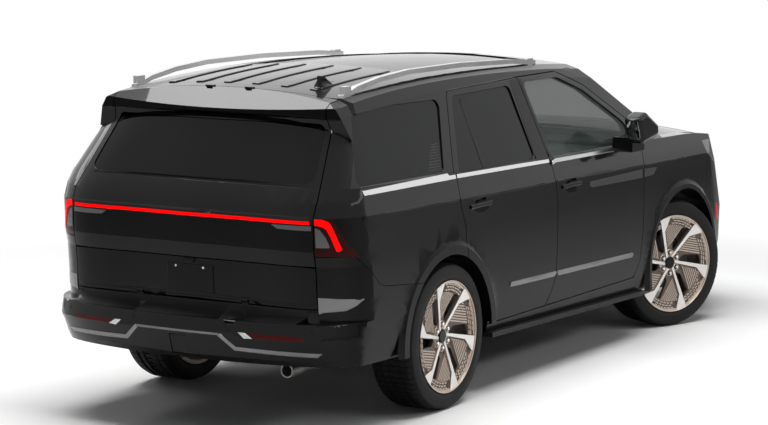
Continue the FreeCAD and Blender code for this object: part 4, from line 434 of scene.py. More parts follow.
# Name, view, nodes, body, finish, (lift, depth, bevel) and outline, drawn for the right side. A side view's
# points are x and z, a rear or front view's y and z, and a top view's y and x.
SIDE_TRIM = (
    ("belt_strip_quarter", "side", ("body_side_{}", "quarter_glass"), "car", "bright",
     (3, 4, 2, 1292, 1312),
     ((-2302, 1350), (-2286, 1323), (-1372, 1307), (-1290, 1306), (-1290, 1328), (-1358, 1330),
      (-1378, 1345))),
    ("rear_handle_plate", "side", ("door_rear_{}",), "rear_door_{}", "gloss_trim",
     (1.5, 3, 1.2, 1050, 1200),
     oval(-1037, 1118, 95, 38)),
    ("front_handle_plate", "side", ("door_front_{}",), "front_door_{}", "gloss_trim",
     (1.5, 3, 1.2, 1035, 1180),
     oval(109, 1103, 95, 38)),
    ("belt_strip_rear_door", "side", ("door_rear_{}", "door_glass_rear_{}"), "rear_door_{}", "bright",
     (3, 4, 2, 1240, 1268),
     ((-1274, 1329), (-1274, 1306), (-150, 1277), (-150, 1300))),
    ("belt_strip_front_door", "side", ("door_front_{}", "door_glass_front_{}"), "front_door_{}", "bright",
     (3, 4, 2, 1205, 1236),
     ((-128, 1296), (-128, 1272), (1096, 1248), (1096, 1270))),
    ("low_strip_rear_door", "side", ("door_rear_{}",), "rear_door_{}", "satin", LOW_STRIP,
     ((-712, 604), (-692, 632), (-128, 617), (-124, 586))),
    ("low_strip_front_door", "side", ("door_front_{}",), "front_door_{}", "satin", LOW_STRIP,
     ((-112, 617), (-108, 586), (918, 558), (945, 574), (925, 588))),
    ("door_panel", "side", ("door_front_{}",), "front_door_{}", "dark_chrome", (1.5, 3, 1.2),
     ((335, 1083), (342, 1108), (1083, 1104), (1083, 1052), (372, 1070))),
    ("fender_panel", "side", ("fender_front_{}",), "car", "dark_chrome", (1.5, 3, 1.2),
     ((1108, 1104), (1298, 1095), (1252, 1058), (1224, 1052), (1108, 1052))),
    ("quarter_line", "side", ("body_side_{}",), "car", "paint", (2.5, 3, 2.4),
     ((-2118, 1207), (-1533, 1190), (-1318, 1178), (-1318, 1189), (-1533, 1201), (-2118, 1216))),
    ("rear_door_line", "side", ("door_rear_{}",), "rear_door_{}", "paint", (2.5, 3, 2.4),
     ((-1278, 1176), (-128, 1158), (-128, 1170), (-1278, 1188))),
    ("front_door_line", "side", ("door_front_{}",), "front_door_{}", "paint", (2.5, 3, 2.4),
     ((-98, 1157), (1086, 1126), (1086, 1138), (-98, 1169))),
    ("fender_line", "side", ("fender_front_{}",), "car", "paint", (2.5, 3, 2.4),
     ((1112, 1126), (1744, 1110), (1760, 1115), (1744, 1122), (1112, 1138))),
    ("division_bar", "side", ("door_glass_rear_{}",), "rear_door_{}", "gloss_trim", (2, 4, 1),
     ((-927, 1306), (-903, 1306), (-935, 1762), (-957, 1762))),
    ("door_pillar_cover", "side", ("door_rear_{}", "door_glass_rear_{}"), "rear_door_{}", "gloss_trim",
     (1.5, 3, 1),
     ((-296, 1306), (-152, 1303), (-228, 1782), (-326, 1782))),
    ("front_pillar_cover", "side", ("door_front_{}",), "front_door_{}", "gloss_trim", (1.5, 3, 1),
     ((-126, 1303), (-100, 1303), (-178, 1776), (-214, 1782))),
    ("side_marker", "side", ("bumper_front",), "car", "lit_red", (2, 3, 1),
     ((2228, 752), (2240, 752), (2290, 640), (2278, 636))),
    ("mirror_glass", "rear", ("door_front_{}",), "front_door_{}", "mirror", (1.5, 3, 1),
     ((-1092, 1352), (-1102, 1338), (-1158, 1338), (-1170, 1352), (-1173, 1400), (-1169, 1456),
      (-1158, 1474),
      (-1104, 1474), (-1092, 1460))),
)

REAR_TRIM = (
    ("corner_lamp_hook", "rear", ("tail_lamps",), "car", "lit_red", (2.5, 3, 1),
     ((-803, 1214), (-841, 1212), (-871, 1198), (-884, 1176), (-897, 1135), (-924, 1048), (-915, 1038),
      (-903, 1038),
      (-880, 1114), (-861, 1158), (-841, 1173), (-803, 1181))),
    ("corner_lamp_clear", "rear", ("tail_lamps",), "car", "lamp_lens", (2, 3, 1),
     ((-806, 1167), (-830, 1156), (-857, 1112), (-873, 1068), (-873, 1059), (-808, 1059))),
    ("reverse_lamp", "rear", ("liftgate",), "liftgate", "lamp_lens", (2, 3, 1),
     ((-545, 1174), (-786, 1176), (-786, 1150), (-585, 1151))),
    # A satin metal piece on the black painted bumper's upward facets: a painted highlight, the reflection
    # those facets catch.
    ("bumper_shoulder_painted_highlight", "rear", ("bumper_rear",), "car", "satin", (3, 3, 2, 668, 690),
     ((-804, 786), (-850, 784), (-985, 770), (-960, 735), (-925, 712), (-830, 704), (-804, 694))),
    ("reflector", "rear", ("bumper_rear",), "car", "reflector", (2.5, 3, 1),
     ((-437, 585), (-749, 582), (-773, 559), (-484, 558))),
    ("reflector_end", "rear", ("bumper_rear",), "car", "bright", (3, 3, 1.5),
     ((-388, 586), (-431, 586), (-478, 558), (-426, 554))),
    ("low_chrome", "rear", ("bumper_rear",), "car", "satin", (4, 4, 2),
     ((-283, 573), (-366, 503), (-600, 496), (-846, 489), (-814, 464), (-600, 470), (-356, 479),
      (-262, 560))),
    ("sensor_ring", "rear", ("bumper_rear",), "car", "gloss_trim", (1.5, 3, 0.8),
     oval(-306, 616, SENSOR_RADIUS, SENSOR_RADIUS, 12)),
    ("outer_sensor_ring", "rear", ("bumper_rear",), "car", "gloss_trim", (1.5, 3, 0.8),
     oval(-808, 610, SENSOR_RADIUS, SENSOR_RADIUS, 12)),
)

CENTRE_TRIM = (
    ("light_strip", "rear", ("light_bar", "liftgate"), "liftgate", "lit_red", (4, 4, 1.5),
     ((-776, 1183), (-776, 1201), (776, 1201), (776, 1183))),
    ("light_bar_hood", "rear", ("light_bar", "liftgate"), "liftgate", "smoked_lens", (2.5, 3, 1),
     ((-776, 1204), (-776, 1222), (776, 1222), (776, 1204))),
    ("gate_lip", "rear", ("tailgate_lower",), "tailgate_lower", "paint", (3.5, 4, 3, 768, 800),
     ((-768, 738), (-768, 748), (-400, 750), (-180, 754), (-120, 762), (120, 762), (180, 754), (400, 750),
      (768, 748), (768, 738))),
    ("bumper_step", "rear", ("bumper_rear",), "car", "black_trim", (2, 3, 1),
     ((-748, 714), (-742, 676), (-727, 650), (-700, 638), (-300, 642), (300, 642), (700, 638), (727, 650),
      (742, 676), (748, 714))),
    ("centre_chrome", "rear", ("bumper_rear",), "car", "satin", (4, 4, 2),
     ((-276, 573), (276, 573), (262, 561), (-262, 561))),
    ("plate", "rear", ("tailgate_lower",), "tailgate_lower", "gloss_trim", (5, 4, 1.2),
     ((-152, 759), (152, 759), (152, 912), (-152, 912))),
    ("gate_camera", "rear", ("tailgate_lower",), "tailgate_lower", "gloss_trim", (12, 4, 4),
     ((-40, 944), (40, 944), (24, 924), (-24, 924))),
)


def add_trim():
    """The trim of both sides and of the middle."""
    for name, view, nodes, body, material, sizes, outline in SIDE_TRIM + REAR_TRIM:
        for side, word in SIDES:
            lay(f"{name}_{word}", view, side, [node.format(word) for node in nodes], body.format(word),
                material, outline, *sizes)
    for name, view, nodes, body, material, sizes, outline in CENTRE_TRIM:
        lay(name, view, RIGHT, nodes, body, material, outline, *sizes)


ROOF_RIB_Y = (-95, -285, -475)
ROOF_RIB_X = (-2010, -1180)
ROOF_RIB_WIDTH = 62
ROOF_RIB_TAIL, ROOF_RIB_NOSE = 60, 120


def add_roof_ribs():
    """Six tapered ribs that stiffen the roof behind the glass."""
    tail, front = ROOF_RIB_X
    widest, narrow = tail + ROOF_RIB_TAIL, front - ROOF_RIB_NOSE
    half = ROOF_RIB_WIDTH / 2
    for i, y in enumerate(ROOF_RIB_Y):
        outline = ((y - half * 0.8, tail), (y + half * 0.8, tail), (y + half, widest),
                   (y + half * 0.6, narrow),
                   (y, front), (y - half * 0.6, narrow), (y - half, widest))
        for side, word in SIDES:
            lay(f"roof_rib_{i + 1}_{word}", "top", side, ("roof_panel",), "car", "paint", outline, 7, 3, 6)


GLASS_LINES = 10
LINE_LOW, LINE_PITCH, LINE_HEIGHT = 1368, 15, 5
LINE_FRONT, LINE_SLANT = -1372, 3.2
LINE_LENGTH, LINE_SHORTENING = 150, 9


def add_glass_lines():
    """The printed lines low at the quarter glass's front end."""
    for side, word in SIDES:
        for i in range(GLASS_LINES):
            z = LINE_LOW + LINE_PITCH * i
            front = LINE_FRONT + LINE_SLANT * i
            back = front - LINE_LENGTH + LINE_SHORTENING * i
            outline = ((back, z), (front, z), (front, z + LINE_HEIGHT), (back, z + LINE_HEIGHT))
            lay(f"quarter_line_{i + 1}_{word}", "side", side, ("quarter_glass",), "car", "steel", outline,
                0.6, 1)


PLATE_BOLTS = ((-91, 898), (91, 898))
PLATE_BOLT_RADIUS = 7


def add_plate_bolts():
    """The two bolts of the plate, proud of it."""
    for i, (y, z) in enumerate(PLATE_BOLTS):
        lay(f"plate_bolt_{i + 1}", "rear", RIGHT, ("tailgate_lower",), "tailgate_lower", "bright",
            oval(y, z, PLATE_BOLT_RADIUS, PLATE_BOLT_RADIUS, 12), 9, 4, 1.5)


HITCH_HALF, HITCH_LOW, HITCH_HIGH = 54, 435, 539
HITCH_BORDER = 8
HITCH_OUTER, HITCH_INNER = 3, 9


def add_hitch_cover():
    """The flush cover over the tow receiver's opening in the bumper."""
    skin = Skin(("bumper_rear",))
    bm = bmesh.new()
    made = add_block(bm, (-1, -HITCH_HALF, HITCH_LOW), (0, HITCH_HALF, HITCH_HIGH))
    for vert in made:
        beside = Vector((-FAR, math.copysign(HITCH_HALF + HITCH_BORDER, vert.co.y) * MM, vert.co.z))
        depth = HITCH_OUTER if vert.co.x < -0.5 * MM else HITCH_INNER
        vert.co.x = skin.land(beside, Vector((1, 0, 0))).x + depth * MM
    bevel_edges(bm, 1.5)
    make_piece(bm, "hitch_cover", "car", "black_trim")


# Wheels

AXLE_HEIGHT = 419
REAR_AXLE_X = -1415
FRONT_AXLE_X = 1697
HALF_TRACK = 854.5
KINGPIN_Y = 790
STEER = math.radians(-21.8)
WHEELS = tuple((axle, side, word) for axle in ("front", "rear") for side, word in SIDES)

BLADES = 6
RIM_EDGE = 317.5
ROOT_RADIUS = 42
FLARE_RADIUS = 225
BLADE_ROOT, BLADE_END = (-48, -24), (-22, -5)
FLARE_ANGLE = -17
FACE_AT_HUB, FACE_AT_RIM = 99, 134
BLADE_DEPTH = 28


def wheel_axes(axle, side):
    """Takes a wheel drawn as seen from outside, with z outward, to its place on the car."""
    x = FRONT_AXLE_X if axle == "front" else REAR_AXLE_X
    axes = Matrix((Vector((-side, 0, 0)), Vector((0, 0, 1)), Vector((0, side, 0)))).transposed().to_4x4()
    place = Matrix.Translation(Vector((x, side * HALF_TRACK, AXLE_HEIGHT)) * MM) @ axes
    if axle == "front":
        pivot = Matrix.Translation(Vector((FRONT_AXLE_X, side * KINGPIN_Y, 0)) * MM)
        place = pivot @ Matrix.Rotation(STEER, 4, "Z") @ pivot.inverted() @ place
    return place


def polar(radius, degrees):
    """A point at a clockwise angle from straight up."""
    angle = math.radians(degrees)
    return Vector((radius * math.sin(angle), radius * math.cos(angle)))


def face_height(point):
    """How far out the wheel's dished face stands at a point."""
    share = (math.hypot(*point) - ROOT_RADIUS) / (RIM_EDGE - ROOT_RADIUS)
    return FACE_AT_HUB + (FACE_AT_RIM - FACE_AT_HUB) * share


def dish(verts):
    """Slopes a flat piece drawn at height 0 to the wheel's dished face."""
    for vert in verts:
        vert.co.z += face_height((vert.co.x / MM, vert.co.y / MM)) * MM


def spread(bm, verts, count=BLADES):
    """Repeats a piece round the wheel."""
    found = set(verts)
    geometry = list(found) + [edge for edge in bm.edges if found.issuperset(edge.verts)]
    geometry += [face for face in bm.faces if found.issuperset(face.verts)]
    turn = 2 * math.pi * (count - 1) / count
    bmesh.ops.spin(bm, geom=geometry, axis=(0, 0, 1), cent=(0, 0, 0), angle=turn, steps=count - 1,
                   use_duplicate=True)


def rim_arc(first, last, radius=RIM_EDGE, steps=5):
    """Points of an arc between two clockwise angles."""
    return [polar(radius, first + (last - first) * i / steps) for i in range(steps + 1)]


def make_blades():
    """Six blades with one straight edge, that flare clockwise towards the rim."""
    bm = bmesh.new()
    outline = [polar(ROOT_RADIUS, BLADE_ROOT[0])] + rim_arc(*BLADE_END) + [
        polar(FLARE_RADIUS, FLARE_ANGLE), polar(ROOT_RADIUS, BLADE_ROOT[1])]
    verts = add_outline(bm, outline, -BLADE_DEPTH, 0)
    dish(verts)
    bevel_edges(bm, 2)
    bm.normal_update()
    for face in bm.faces:
        face.material_index = 0 if face.normal.z > 0.9 else 1
    spread(bm, bm.verts[:])
    return bm


NEXT_EDGE = (polar(ROOT_RADIUS, BLADE_ROOT[0] + 60), polar(RIM_EDGE, BLADE_END[0] + 60))
WINDOW_WIDTH, WINDOW_NARROW = 62, 34
WINDOW_END = 262
FLOOR_DROP, FLOOR_DEPTH = 15, 22
RIDGE_PITCH, RIDGE_WIDTH, RIDGE_HEIGHT = 15, 8, 10
RIDGES = 8
RIDGE_TAPER = 0.12
BRICK_ROWS = (267, 283, 299)
BRICK_LENGTH, BRICK_WIDTH = 25, 9


def beside_next_edge(radius, offset):
    """A point at a radius and an offset from the next blade's straight edge, on the pocket's side."""
    start, end = NEXT_EDGE
    along = (end - start).normalized()
    away = Vector((-along.y, along.x))
    foot = start + away * offset
    reach = -foot.dot(along) + math.sqrt(max(foot.dot(along) ** 2 - foot.length_squared + radius ** 2, 0))
    return foot + along * reach


def past_blade(point, margin):
    """Whether a point of the pocket is clear of the blade behind it."""
    start, flare, end = (polar(ROOT_RADIUS, BLADE_ROOT[1]), polar(FLARE_RADIUS, FLARE_ANGLE),
                         polar(RIM_EDGE, BLADE_END[1]))
    first, last = (start, flare) if point.length < FLARE_RADIUS else (flare, end)
    along = (last - first).normalized()
    return (point - first).dot(Vector((along.y, -along.x))) > margin


def make_pockets():
    """The pockets' floors between the blades, darkened as painted shade, with their windows, ridges and
    bricks.
    """
    bm = bmesh.new()
    outline = [polar(74, -25), polar(FLARE_RADIUS, FLARE_ANGLE - 2)]
    outline += rim_arc(BLADE_END[1] - 2, BLADE_END[0] + 62)
    outline += [beside_next_edge(WINDOW_END, -3), beside_next_edge(WINDOW_END, 20),
                beside_next_edge(WINDOW_END - 14, WINDOW_WIDTH), beside_next_edge(130, WINDOW_NARROW + 12),
                beside_next_edge(96, WINDOW_NARROW - 14), beside_next_edge(90, -3), polar(74, 12)]
    verts = add_outline(bm, outline, -FLOOR_DROP - FLOOR_DEPTH, -FLOOR_DROP)
    floor = set(bm.faces)
    for i in range(RIDGES):
        offset = WINDOW_WIDTH + 10 + RIDGE_PITCH * i
        inside = [radius for radius in range(96, 262, 2) if past_blade(beside_next_edge(radius, offset), 5)
                  and beside_next_edge(radius, offset).length <= radius + 1]
        if len(inside) < 8:
            continue
        start, end = (beside_next_edge(radius, offset) for radius in (inside[0], inside[-1]))
        verts += add_bar(bm, start, end, RIDGE_WIDTH)
    for row, radius in enumerate(BRICK_ROWS):
        step = math.degrees((BRICK_LENGTH + 5) / radius)
        count = int((BLADE_END[0] + 60 - BLADE_END[1] - 3) / step)
        for i in range(count):
            middle = BLADE_END[1] + 3 + step * (i + 0.5 + 0.5 * (row % 2))
            if middle + step / 2 < BLADE_END[0] + 60:
                half = math.degrees(BRICK_LENGTH / 2 / radius)
                verts += add_bar(bm, polar(radius, middle - half), polar(radius, middle + half),
                                 BRICK_WIDTH)
    # Floors take the darker bronze, painted shade down in the pockets; ridges and bricks take the plain
    # bronze.
    for face in bm.faces:
        face.material_index = 0 if face in floor else 1
    dish(verts)
    spread(bm, bm.verts[:])
    return bm


def add_bar(bm, start, end, width):
    """A small ridge standing on the pocket's floor."""
    along = (end - start).normalized() * width / 2
    across = Vector((along.y, -along.x))
    outline = [start - across, end - across, end + across, start + across]
    verts = add_outline(bm, outline, -FLOOR_DROP - 1, -FLOOR_DROP + RIDGE_HEIGHT)
    for vert in verts[4:]:
        vert.co.x += RIDGE_TAPER * ((start.x + end.x) / 2 * MM - vert.co.x)
        vert.co.y += RIDGE_TAPER * ((start.y + end.y) / 2 * MM - vert.co.y)
    return verts


BARREL = ((321, 140), (321, 131), (305, 128), (302, 60), (296, -60), (302, -128), (321, -131), (321, -140),
          (298, -140), (288, -60), (290, 60), (293, 104), (314, 122), (317, 138))
HUB = ((0, 60), (84, 60), (88, 78), (84, 90), (0, 92))
CAP = ((0, 90), (39, 90), (39, 99), (34, 103), (0, 104))
NUT_CIRCLE = 68
NUT_RADIUS = 12
NUT_REACH = (88, 108)
WELL = ((17, 84), (23, 84), (23, 95), (20, 98), (17, 95))
# Black discs at the floors of the lug nuts' wells: painted shade round the nuts.
WELL_PAINTED_SHADE = ((0, 88), (17.5, 88), (17.5, 93), (0, 93))
DISC = ((66, 40), (175, 26), (175, -4), (60, -4), (0, -4), (0, 40))
LUGS = 6


def make_rim():
    """The barrel, the hub and the wells round its lug nuts."""
    bm = bmesh.new()
    add_ring(bm, BARREL, 96)
    add_ring(bm, HUB, 48)
    start = len(bm.verts)
    add_ring(bm, WELL, 16)
    bm.verts.ensure_lookup_table()
    wells = bm.verts[start:]
    bmesh.ops.translate(bm, verts=wells, vec=(0, NUT_CIRCLE * MM, 0))
    spread(bm, wells, LUGS)
    return bm


def make_cap():
    """The middle cap, and black discs of painted shade as the floors of the lug nuts' wells."""
    bm = bmesh.new()
    add_ring(bm, WELL_PAINTED_SHADE, 16)
    bmesh.ops.translate(bm, verts=bm.verts, vec=(0, NUT_CIRCLE * MM, 0))
    spread(bm, bm.verts[:], LUGS)
    add_ring(bm, CAP, 48)
    return bm


def make_nuts():
    """Six bright hexagonal lug nuts with domed ends."""
    bm = bmesh.new()
    outline = [polar(NUT_RADIUS, 60 * i) for i in range(6)]
    verts = add_outline(bm, outline, *NUT_REACH)
    for vert in verts[6:]:
        vert.co.x, vert.co.y = vert.co.x * 0.8, vert.co.y * 0.8
    bevel_edges(bm, 2)
    bmesh.ops.translate(bm, verts=bm.verts, vec=(0, NUT_CIRCLE * MM, 0))
    spread(bm, bm.verts[:], LUGS)
    return bm


def make_disc():
    """The brake disc with its hat."""
    bm = bmesh.new()
    add_ring(bm, DISC, 64)
    return bm


# Inner and outer radius, first and last clockwise angle, and the reach along the axle
CALIPER = (118, 192, 52, 112)
CALIPER_REACH = (-24, 62)


def make_caliper():
    """A caliper that straddles the disc behind the axle."""
    low, high, first, last = CALIPER
    bm = bmesh.new()
    outline = rim_arc(first, last, high) + rim_arc(last, first, low)
    add_outline(bm, outline, *CALIPER_REACH)
    bevel_edges(bm, 5)
    return bm


TYRE = ((306, 127), (323, 128), (329, 135), (345, 141), (352, 142), (380, 140.5), (400, 136),
        (407, 130), (410, 118), (411, 60))
TREAD_ROOT = 409
TREAD_BLOCKS = 68
# Each rib's widths in from the tyre's middle plane, with the tread's radius at both.
RIBS = ((-19, 419, 19, 419), (26, 419, 62, 418.5), (69, 418.5, 132, 407.5))
BLOCK_SHARE = 0.88
TREAD_SUNK = 8


def make_tyre():
    """A low-profile tyre with four grooves and blocks of tread."""
    bm = bmesh.new()
    add_ring(bm, TYRE + tuple((radius, -height) for radius, height in reversed(TYRE)), 96)
    angle = 2 * math.pi / TREAD_BLOCKS * BLOCK_SHARE
    blocks = []
    for low, low_radius, high, high_radius in RIBS:
        for sense in ((1,) if low < 0 else (1, -1)):
            profile = [(TREAD_ROOT - TREAD_SUNK, low), (low_radius - 1, low), (low_radius, low + 2),
                       (low_radius, (low + 1.2 * high) / 2.2), (high_radius, high),
                       (TREAD_ROOT - TREAD_SUNK, high - 4)]
            corners = [bm.verts.new((radius * MM, 0, sense * height * MM)) for radius, height in profile]
            face = bm.faces.new(corners)
            start = len(bm.verts)
            bmesh.ops.spin(bm, geom=[face] + face.edges[:] + corners, axis=(0, 0, 1), cent=(0, 0, 0),
                           angle=angle, steps=1)
            bm.verts.ensure_lookup_table()
            blocks += corners + bm.verts[start:]
    spread(bm, blocks, TREAD_BLOCKS)
    return bm


def add_wheels():
    """Dresses the four wheels; each piece is drawn once and placed four times."""
    pieces = (
        ("tyre", make_tyre(), ("tyre",), "tyre_{0}_{1}"),
        ("wheel_rim", make_rim(), ("rim",), "rim_{0}_{1}"),
        ("wheel_blades", make_blades(), ("machined", "rim"), None),
        ("wheel_pockets", make_pockets(), ("rim_shade", "rim"), None),
        ("wheel_cap", make_cap(), ("gloss_trim",), None),
        ("lug_nuts", make_nuts(), ("bright",), None),
        ("brake_disc", make_disc(), ("silencer",), None),
    )
    caliper = make_caliper()
    for axle, side, word in WHEELS:
        place = wheel_axes(axle, side)
        for name, drawn, materials, node in pieces:
            bm = drawn.copy()
            bmesh.ops.transform(bm, matrix=place, verts=bm.verts)
            piece = make_piece(bm, f"{name}_{axle}_{word}", f"{axle}_wheel_{word}", *materials)
            if node:
                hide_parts(node.format(axle, word))
        bm = caliper.copy()
        bmesh.ops.transform(bm, matrix=place, verts=bm.verts)
        make_piece(bm, f"caliper_{axle}_{word}", f"knuckle_{word}" if axle == "front" else "car", "steel")


# Seats

SEATS = (("driver_seat", 469, 404, 520), ("front_passenger_seat", 469, -404, 520),
         ("second_row_left_seat", -493, 404, 520), ("second_row_right_seat", -493, -404, 520),
         ("third_row_bench", -1387, 0, 1200))
SEAT_CHANNELS = 5
PAD_CUTS = 11
SEAM_WIDTH, SEAM_REACH, SEAM_DEPTH = 0.1, 0.85, 5
PAD_BULGE, HEAD_REST_BULGE = 14, 8
CUSHION_HEIGHTS, BACK_HEIGHTS = (700, 850), (842, 1345)
HEAD_REST_HEIGHTS, BASE_HEIGHTS = (1392, 1550), (563, 712)
BACK_LEAN = -0.36
HEAD_REST_HALF = 130
BENCH_WIDTH = 800


def cushion(name, low, high, crown, lean=0.0, pinch=0.12):
    """A crowned pad with sewn channels, whose sides pull in between its corners."""
    bm = bmesh.new()
    add_block(bm, low, high)
    bmesh.ops.subdivide_edges(bm, edges=bm.edges[:], cuts=PAD_CUTS, use_grid_fill=True)
    low, high = Vector(low) * MM, Vector(high) * MM
    middle, half = (low + high) / 2, (high - low) / 2
    for vert in bm.verts:
        share = Vector([(vert.co[i] - middle[i]) / half[i] for i in range(3)])
        for axis in range(3):
            others = [share[i] for i in range(3) if i != axis]
            bulge = (1 - others[0] ** 2) * (1 - others[1] ** 2)
            corner = (others[0] ** 2 + others[1] ** 2) / 2
            vert.co[axis] += share[axis] * (crown * MM * bulge - pinch * half[axis] * corner ** 3)
        vert.co.x += lean * (vert.co.z - low.z)
    bmesh.ops.recalc_face_normals(bm, faces=bm.faces)
    for vert in bm.verts:
        across = (vert.co.y - middle.y) / half.y
        if abs(across) < SEAM_REACH and abs(math.sin(across * math.pi * SEAT_CHANNELS / 2)) < SEAM_WIDTH:
            vert.co -= vert.normal * SEAM_DEPTH * MM
    piece = make_piece(bm, name, "car", "cabin", angle=math.radians(80))
    modifier = piece.modifiers.new("soften", "SUBSURF")
    modifier.levels = modifier.render_levels = 1
    return piece


def add_seats():
    """Padded cushions, backs and head rests in the room of the plain CAD seats."""
    first = None
    for name, x, y, width in SEATS:
        half = width / 2
        low, high = CUSHION_HEIGHTS
        piece = cushion(f"{name}_cushion", (x - 235, y - half, low), (x + 245, y + half, high), PAD_BULGE)
        first = first or piece
        low, high = BACK_HEIGHTS
        cushion(f"{name}_back", (x - 215, y - half, low), (x - 95, y + half, high), PAD_BULGE,
                lean=BACK_LEAN)
        low, high = HEAD_REST_HEIGHTS
        for label, spot in (("_right", -0.3), ("_left", 0.3)) if width > BENCH_WIDTH else (("", 0),):
            centre = y + spot * width
            cushion(f"{name}_head_rest{label}", (x - 425, centre - HEAD_REST_HALF, low),
                    (x - 320, centre + HEAD_REST_HALF, high), HEAD_REST_BULGE)
        base = bmesh.new()
        low, high = BASE_HEIGHTS
        add_block(base, (x - 225, y - half * 0.86, low), (x + 235, y + half * 0.86, high))
        bevel_edges(base, 12)
        make_piece(base, f"{name}_base", "car", "carpet")
    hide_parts("seats")


# Nose

NOSE_NODES = ("bumper_front", "grille")
TOP_BAR = ((-604, 1112), (-590, 1124), (590, 1124), (604, 1112), (600, 1104), (-600, 1104))
SIDE_BAR = ((-604, 1108), (-566, 636), (-554, 636), (-590, 1108))
LAMP_CELLS = (-690, -775, -860)
LAMP_CELL = ((-30, 1120), (30, 1120), (26, 1062), (-26, 1062))


def add_nose():
    """Bright bars and lamps of the front."""
    lay("grille_top_bar", "front", RIGHT, NOSE_NODES, "car", "bright", TOP_BAR, 3, 4, 2)
    for side, word in SIDES:
        lay(f"grille_side_bar_{word}", "front", side, NOSE_NODES, "car", "bright", SIDE_BAR, 3, 4, 2)
        for i, middle in enumerate(LAMP_CELLS):
            lamp = [(middle + y, z) for y, z in LAMP_CELL]
            lay(f"head_lamp_cell_{i + 1}_{word}", "front", side, ("headlamps",), "car", "lit_white", lamp,
                2, 3, 2)


# Studio

CAMERA_PLACE = (-14.621, -8.505, 3.261)
CAMERA_TURN = math.radians(31.002)
CAMERA_DIP = math.radians(-7.986)
CAMERA_ROLL = math.radians(-0.162)
CAMERA_LENS = 127.9


def make_camera():
    """The camera at the place and angle from which the photograph was taken."""
    camera = bpy.data.objects.new("camera", bpy.data.cameras.new("camera"))
    bpy.context.collection.objects.link(camera)
    ahead = Vector((math.cos(CAMERA_DIP) * math.cos(CAMERA_TURN),
                    math.cos(CAMERA_DIP) * math.sin(CAMERA_TURN),
                    math.sin(CAMERA_DIP)))
    level = Vector((math.sin(CAMERA_TURN), -math.cos(CAMERA_TURN), 0))
    rise = level.cross(ahead)
    right = level * math.cos(CAMERA_ROLL) + rise * math.sin(CAMERA_ROLL)
    up = rise * math.cos(CAMERA_ROLL) - level * math.sin(CAMERA_ROLL)
    axes = Matrix((right, up, -ahead)).transposed().to_4x4()
    camera.matrix_world = Matrix.Translation(CAMERA_PLACE) @ axes
    camera.data.lens = CAMERA_LENS
    camera.data.clip_end = 200
    bpy.context.scene.camera = camera


def area_light(name, place, target, size, power):
    """A rectangular soft light that faces a target."""
    data = bpy.data.lights.new(name, "AREA")
    data.shape = "RECTANGLE"
    data.size, data.size_y = size
    data.energy = power
    light = bpy.data.objects.new(name, data)
    bpy.context.collection.objects.link(light)
    light.location = place
    light.rotation_euler = (Vector(target) - Vector(place)).to_track_quat("-Z", "Y").to_euler()
    return light


# Name, place, target, size in metres and power in watts
LIGHTS = (
    ("ceiling", (-0.5, 0, 7.0), (0, 0, 0), (9, 4), 900),
    ("side_strip", (1.0, -9.5, 5.5), (0, 0, 1.0), (9, 1.2), 150),
    ("far_side", (0.0, 9.0, 5.5), (0, 0, 1.0), (9, 1.2), 120),
)
AMBIENT_COLOR = (0.9, 0.92, 0.95, 1)
AMBIENT_STRENGTH = 0.06


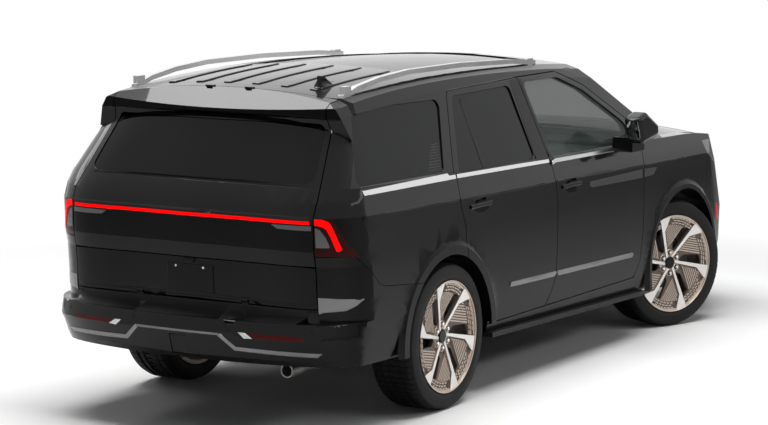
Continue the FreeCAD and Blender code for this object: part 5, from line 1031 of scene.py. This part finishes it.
def make_studio():
    """Soft lights, and a world that is white to the camera and in reflections but lights little."""
    for light in LIGHTS:
        area_light(*light)
    world = bpy.data.worlds.new("studio")
    bpy.context.scene.world = world
    world.use_nodes = True
    tree = world.node_tree
    tree.nodes.clear()
    path = tree.nodes.new("ShaderNodeLightPath")
    seen = tree.nodes.new("ShaderNodeMath")
    seen.operation = "MAXIMUM"
    tree.links.new(path.outputs["Is Camera Ray"], seen.inputs[0])
    tree.links.new(path.outputs["Is Transmission Ray"], seen.inputs[1])
    every = tree.nodes.new("ShaderNodeMath")
    every.operation = "MAXIMUM"
    tree.links.new(seen.outputs[0], every.inputs[0])
    tree.links.new(path.outputs["Is Glossy Ray"], every.inputs[1])
    ambient = tree.nodes.new("ShaderNodeBackground")
    ambient.inputs["Color"].default_value = AMBIENT_COLOR
    ambient.inputs["Strength"].default_value = AMBIENT_STRENGTH
    white = tree.nodes.new("ShaderNodeBackground")
    white.inputs["Color"].default_value = (1, 1, 1, 1)
    mixer = tree.nodes.new("ShaderNodeMixShader")
    out = tree.nodes.new("ShaderNodeOutputWorld")
    tree.links.new(every.outputs[0], mixer.inputs[0])
    tree.links.new(ambient.outputs[0], mixer.inputs[1])
    tree.links.new(white.outputs[0], mixer.inputs[2])
    tree.links.new(mixer.outputs[0], out.inputs[0])
    make_floor()
    bpy.context.scene.view_settings.view_transform = "Standard"


FLOOR_RADIUS = 60
FLOOR_FADE = (3.4, 5.6)


def make_floor():
    """A pale floor that only darkens under the car, and fades to white away from it."""
    bm = bmesh.new()
    bmesh.ops.create_circle(bm, cap_ends=True, radius=FLOOR_RADIUS, segments=64)
    mesh = bpy.data.meshes.new("floor")
    bm.to_mesh(mesh)
    bm.free()
    floor = bpy.data.objects.new("floor", mesh)
    bpy.context.collection.objects.link(floor)
    shader = Shader("pale floor", (0.92, 0.92, 0.92), Roughness=0.9)
    (x, y, _), _ = shader.place()
    reach = (x * x + y * y).math("SQRT")
    away = ((reach - FLOOR_FADE[0]) / (FLOOR_FADE[1] - FLOOR_FADE[0])).clamped()
    seen = shader.node("ShaderNodeLightPath", output="Is Camera Ray")
    glow = shader.node("ShaderNodeEmission", inputs={"Color": (1, 1, 1, 1), "Strength": 1.0})
    output = next(node for node in shader.tree.nodes if node.type == "OUTPUT_MATERIAL")
    mixed = shader.node("ShaderNodeMixShader", inputs={0: away * seen, 1: shader.surface.outputs[0],
                                                       2: glow.socket})
    shader.tree.links.new(mixed.socket, output.inputs["Surface"])
    mesh.materials.append(shader.material)


# Nodes whose loose triangles are replaced by a merged copy
SMOOTH_NODES = ("hood", "fender_front_right", "fender_front_left", "door_front_right", "door_front_left",
                "door_rear_right", "door_rear_left", "body_side_right", "body_side_left", "roof_panel",
                "liftgate", "tailgate_lower", "bumper_front", "bumper_rear", "rear_glass", "quarter_glass",
                "roof_glass", "windshield", "door_glass_front_right", "door_glass_front_left",
                "door_glass_rear_right", "door_glass_rear_left", "tail_lamps", "headlamps", "light_bar",
                "roof_rails")


def main():
    """Dresses the nodes, adds the pieces of the scene, and sets up the camera and the studio."""
    make_materials()
    dress_nodes()
    for node in SMOOTH_NODES:
        smooth_copy(node)
    add_trim()
    add_roof_ribs()
    add_glass_lines()
    add_plate_bolts()
    add_hitch_cover()
    add_wheels()
    add_seats()
    add_nose()
    make_camera()
    make_studio()


main()
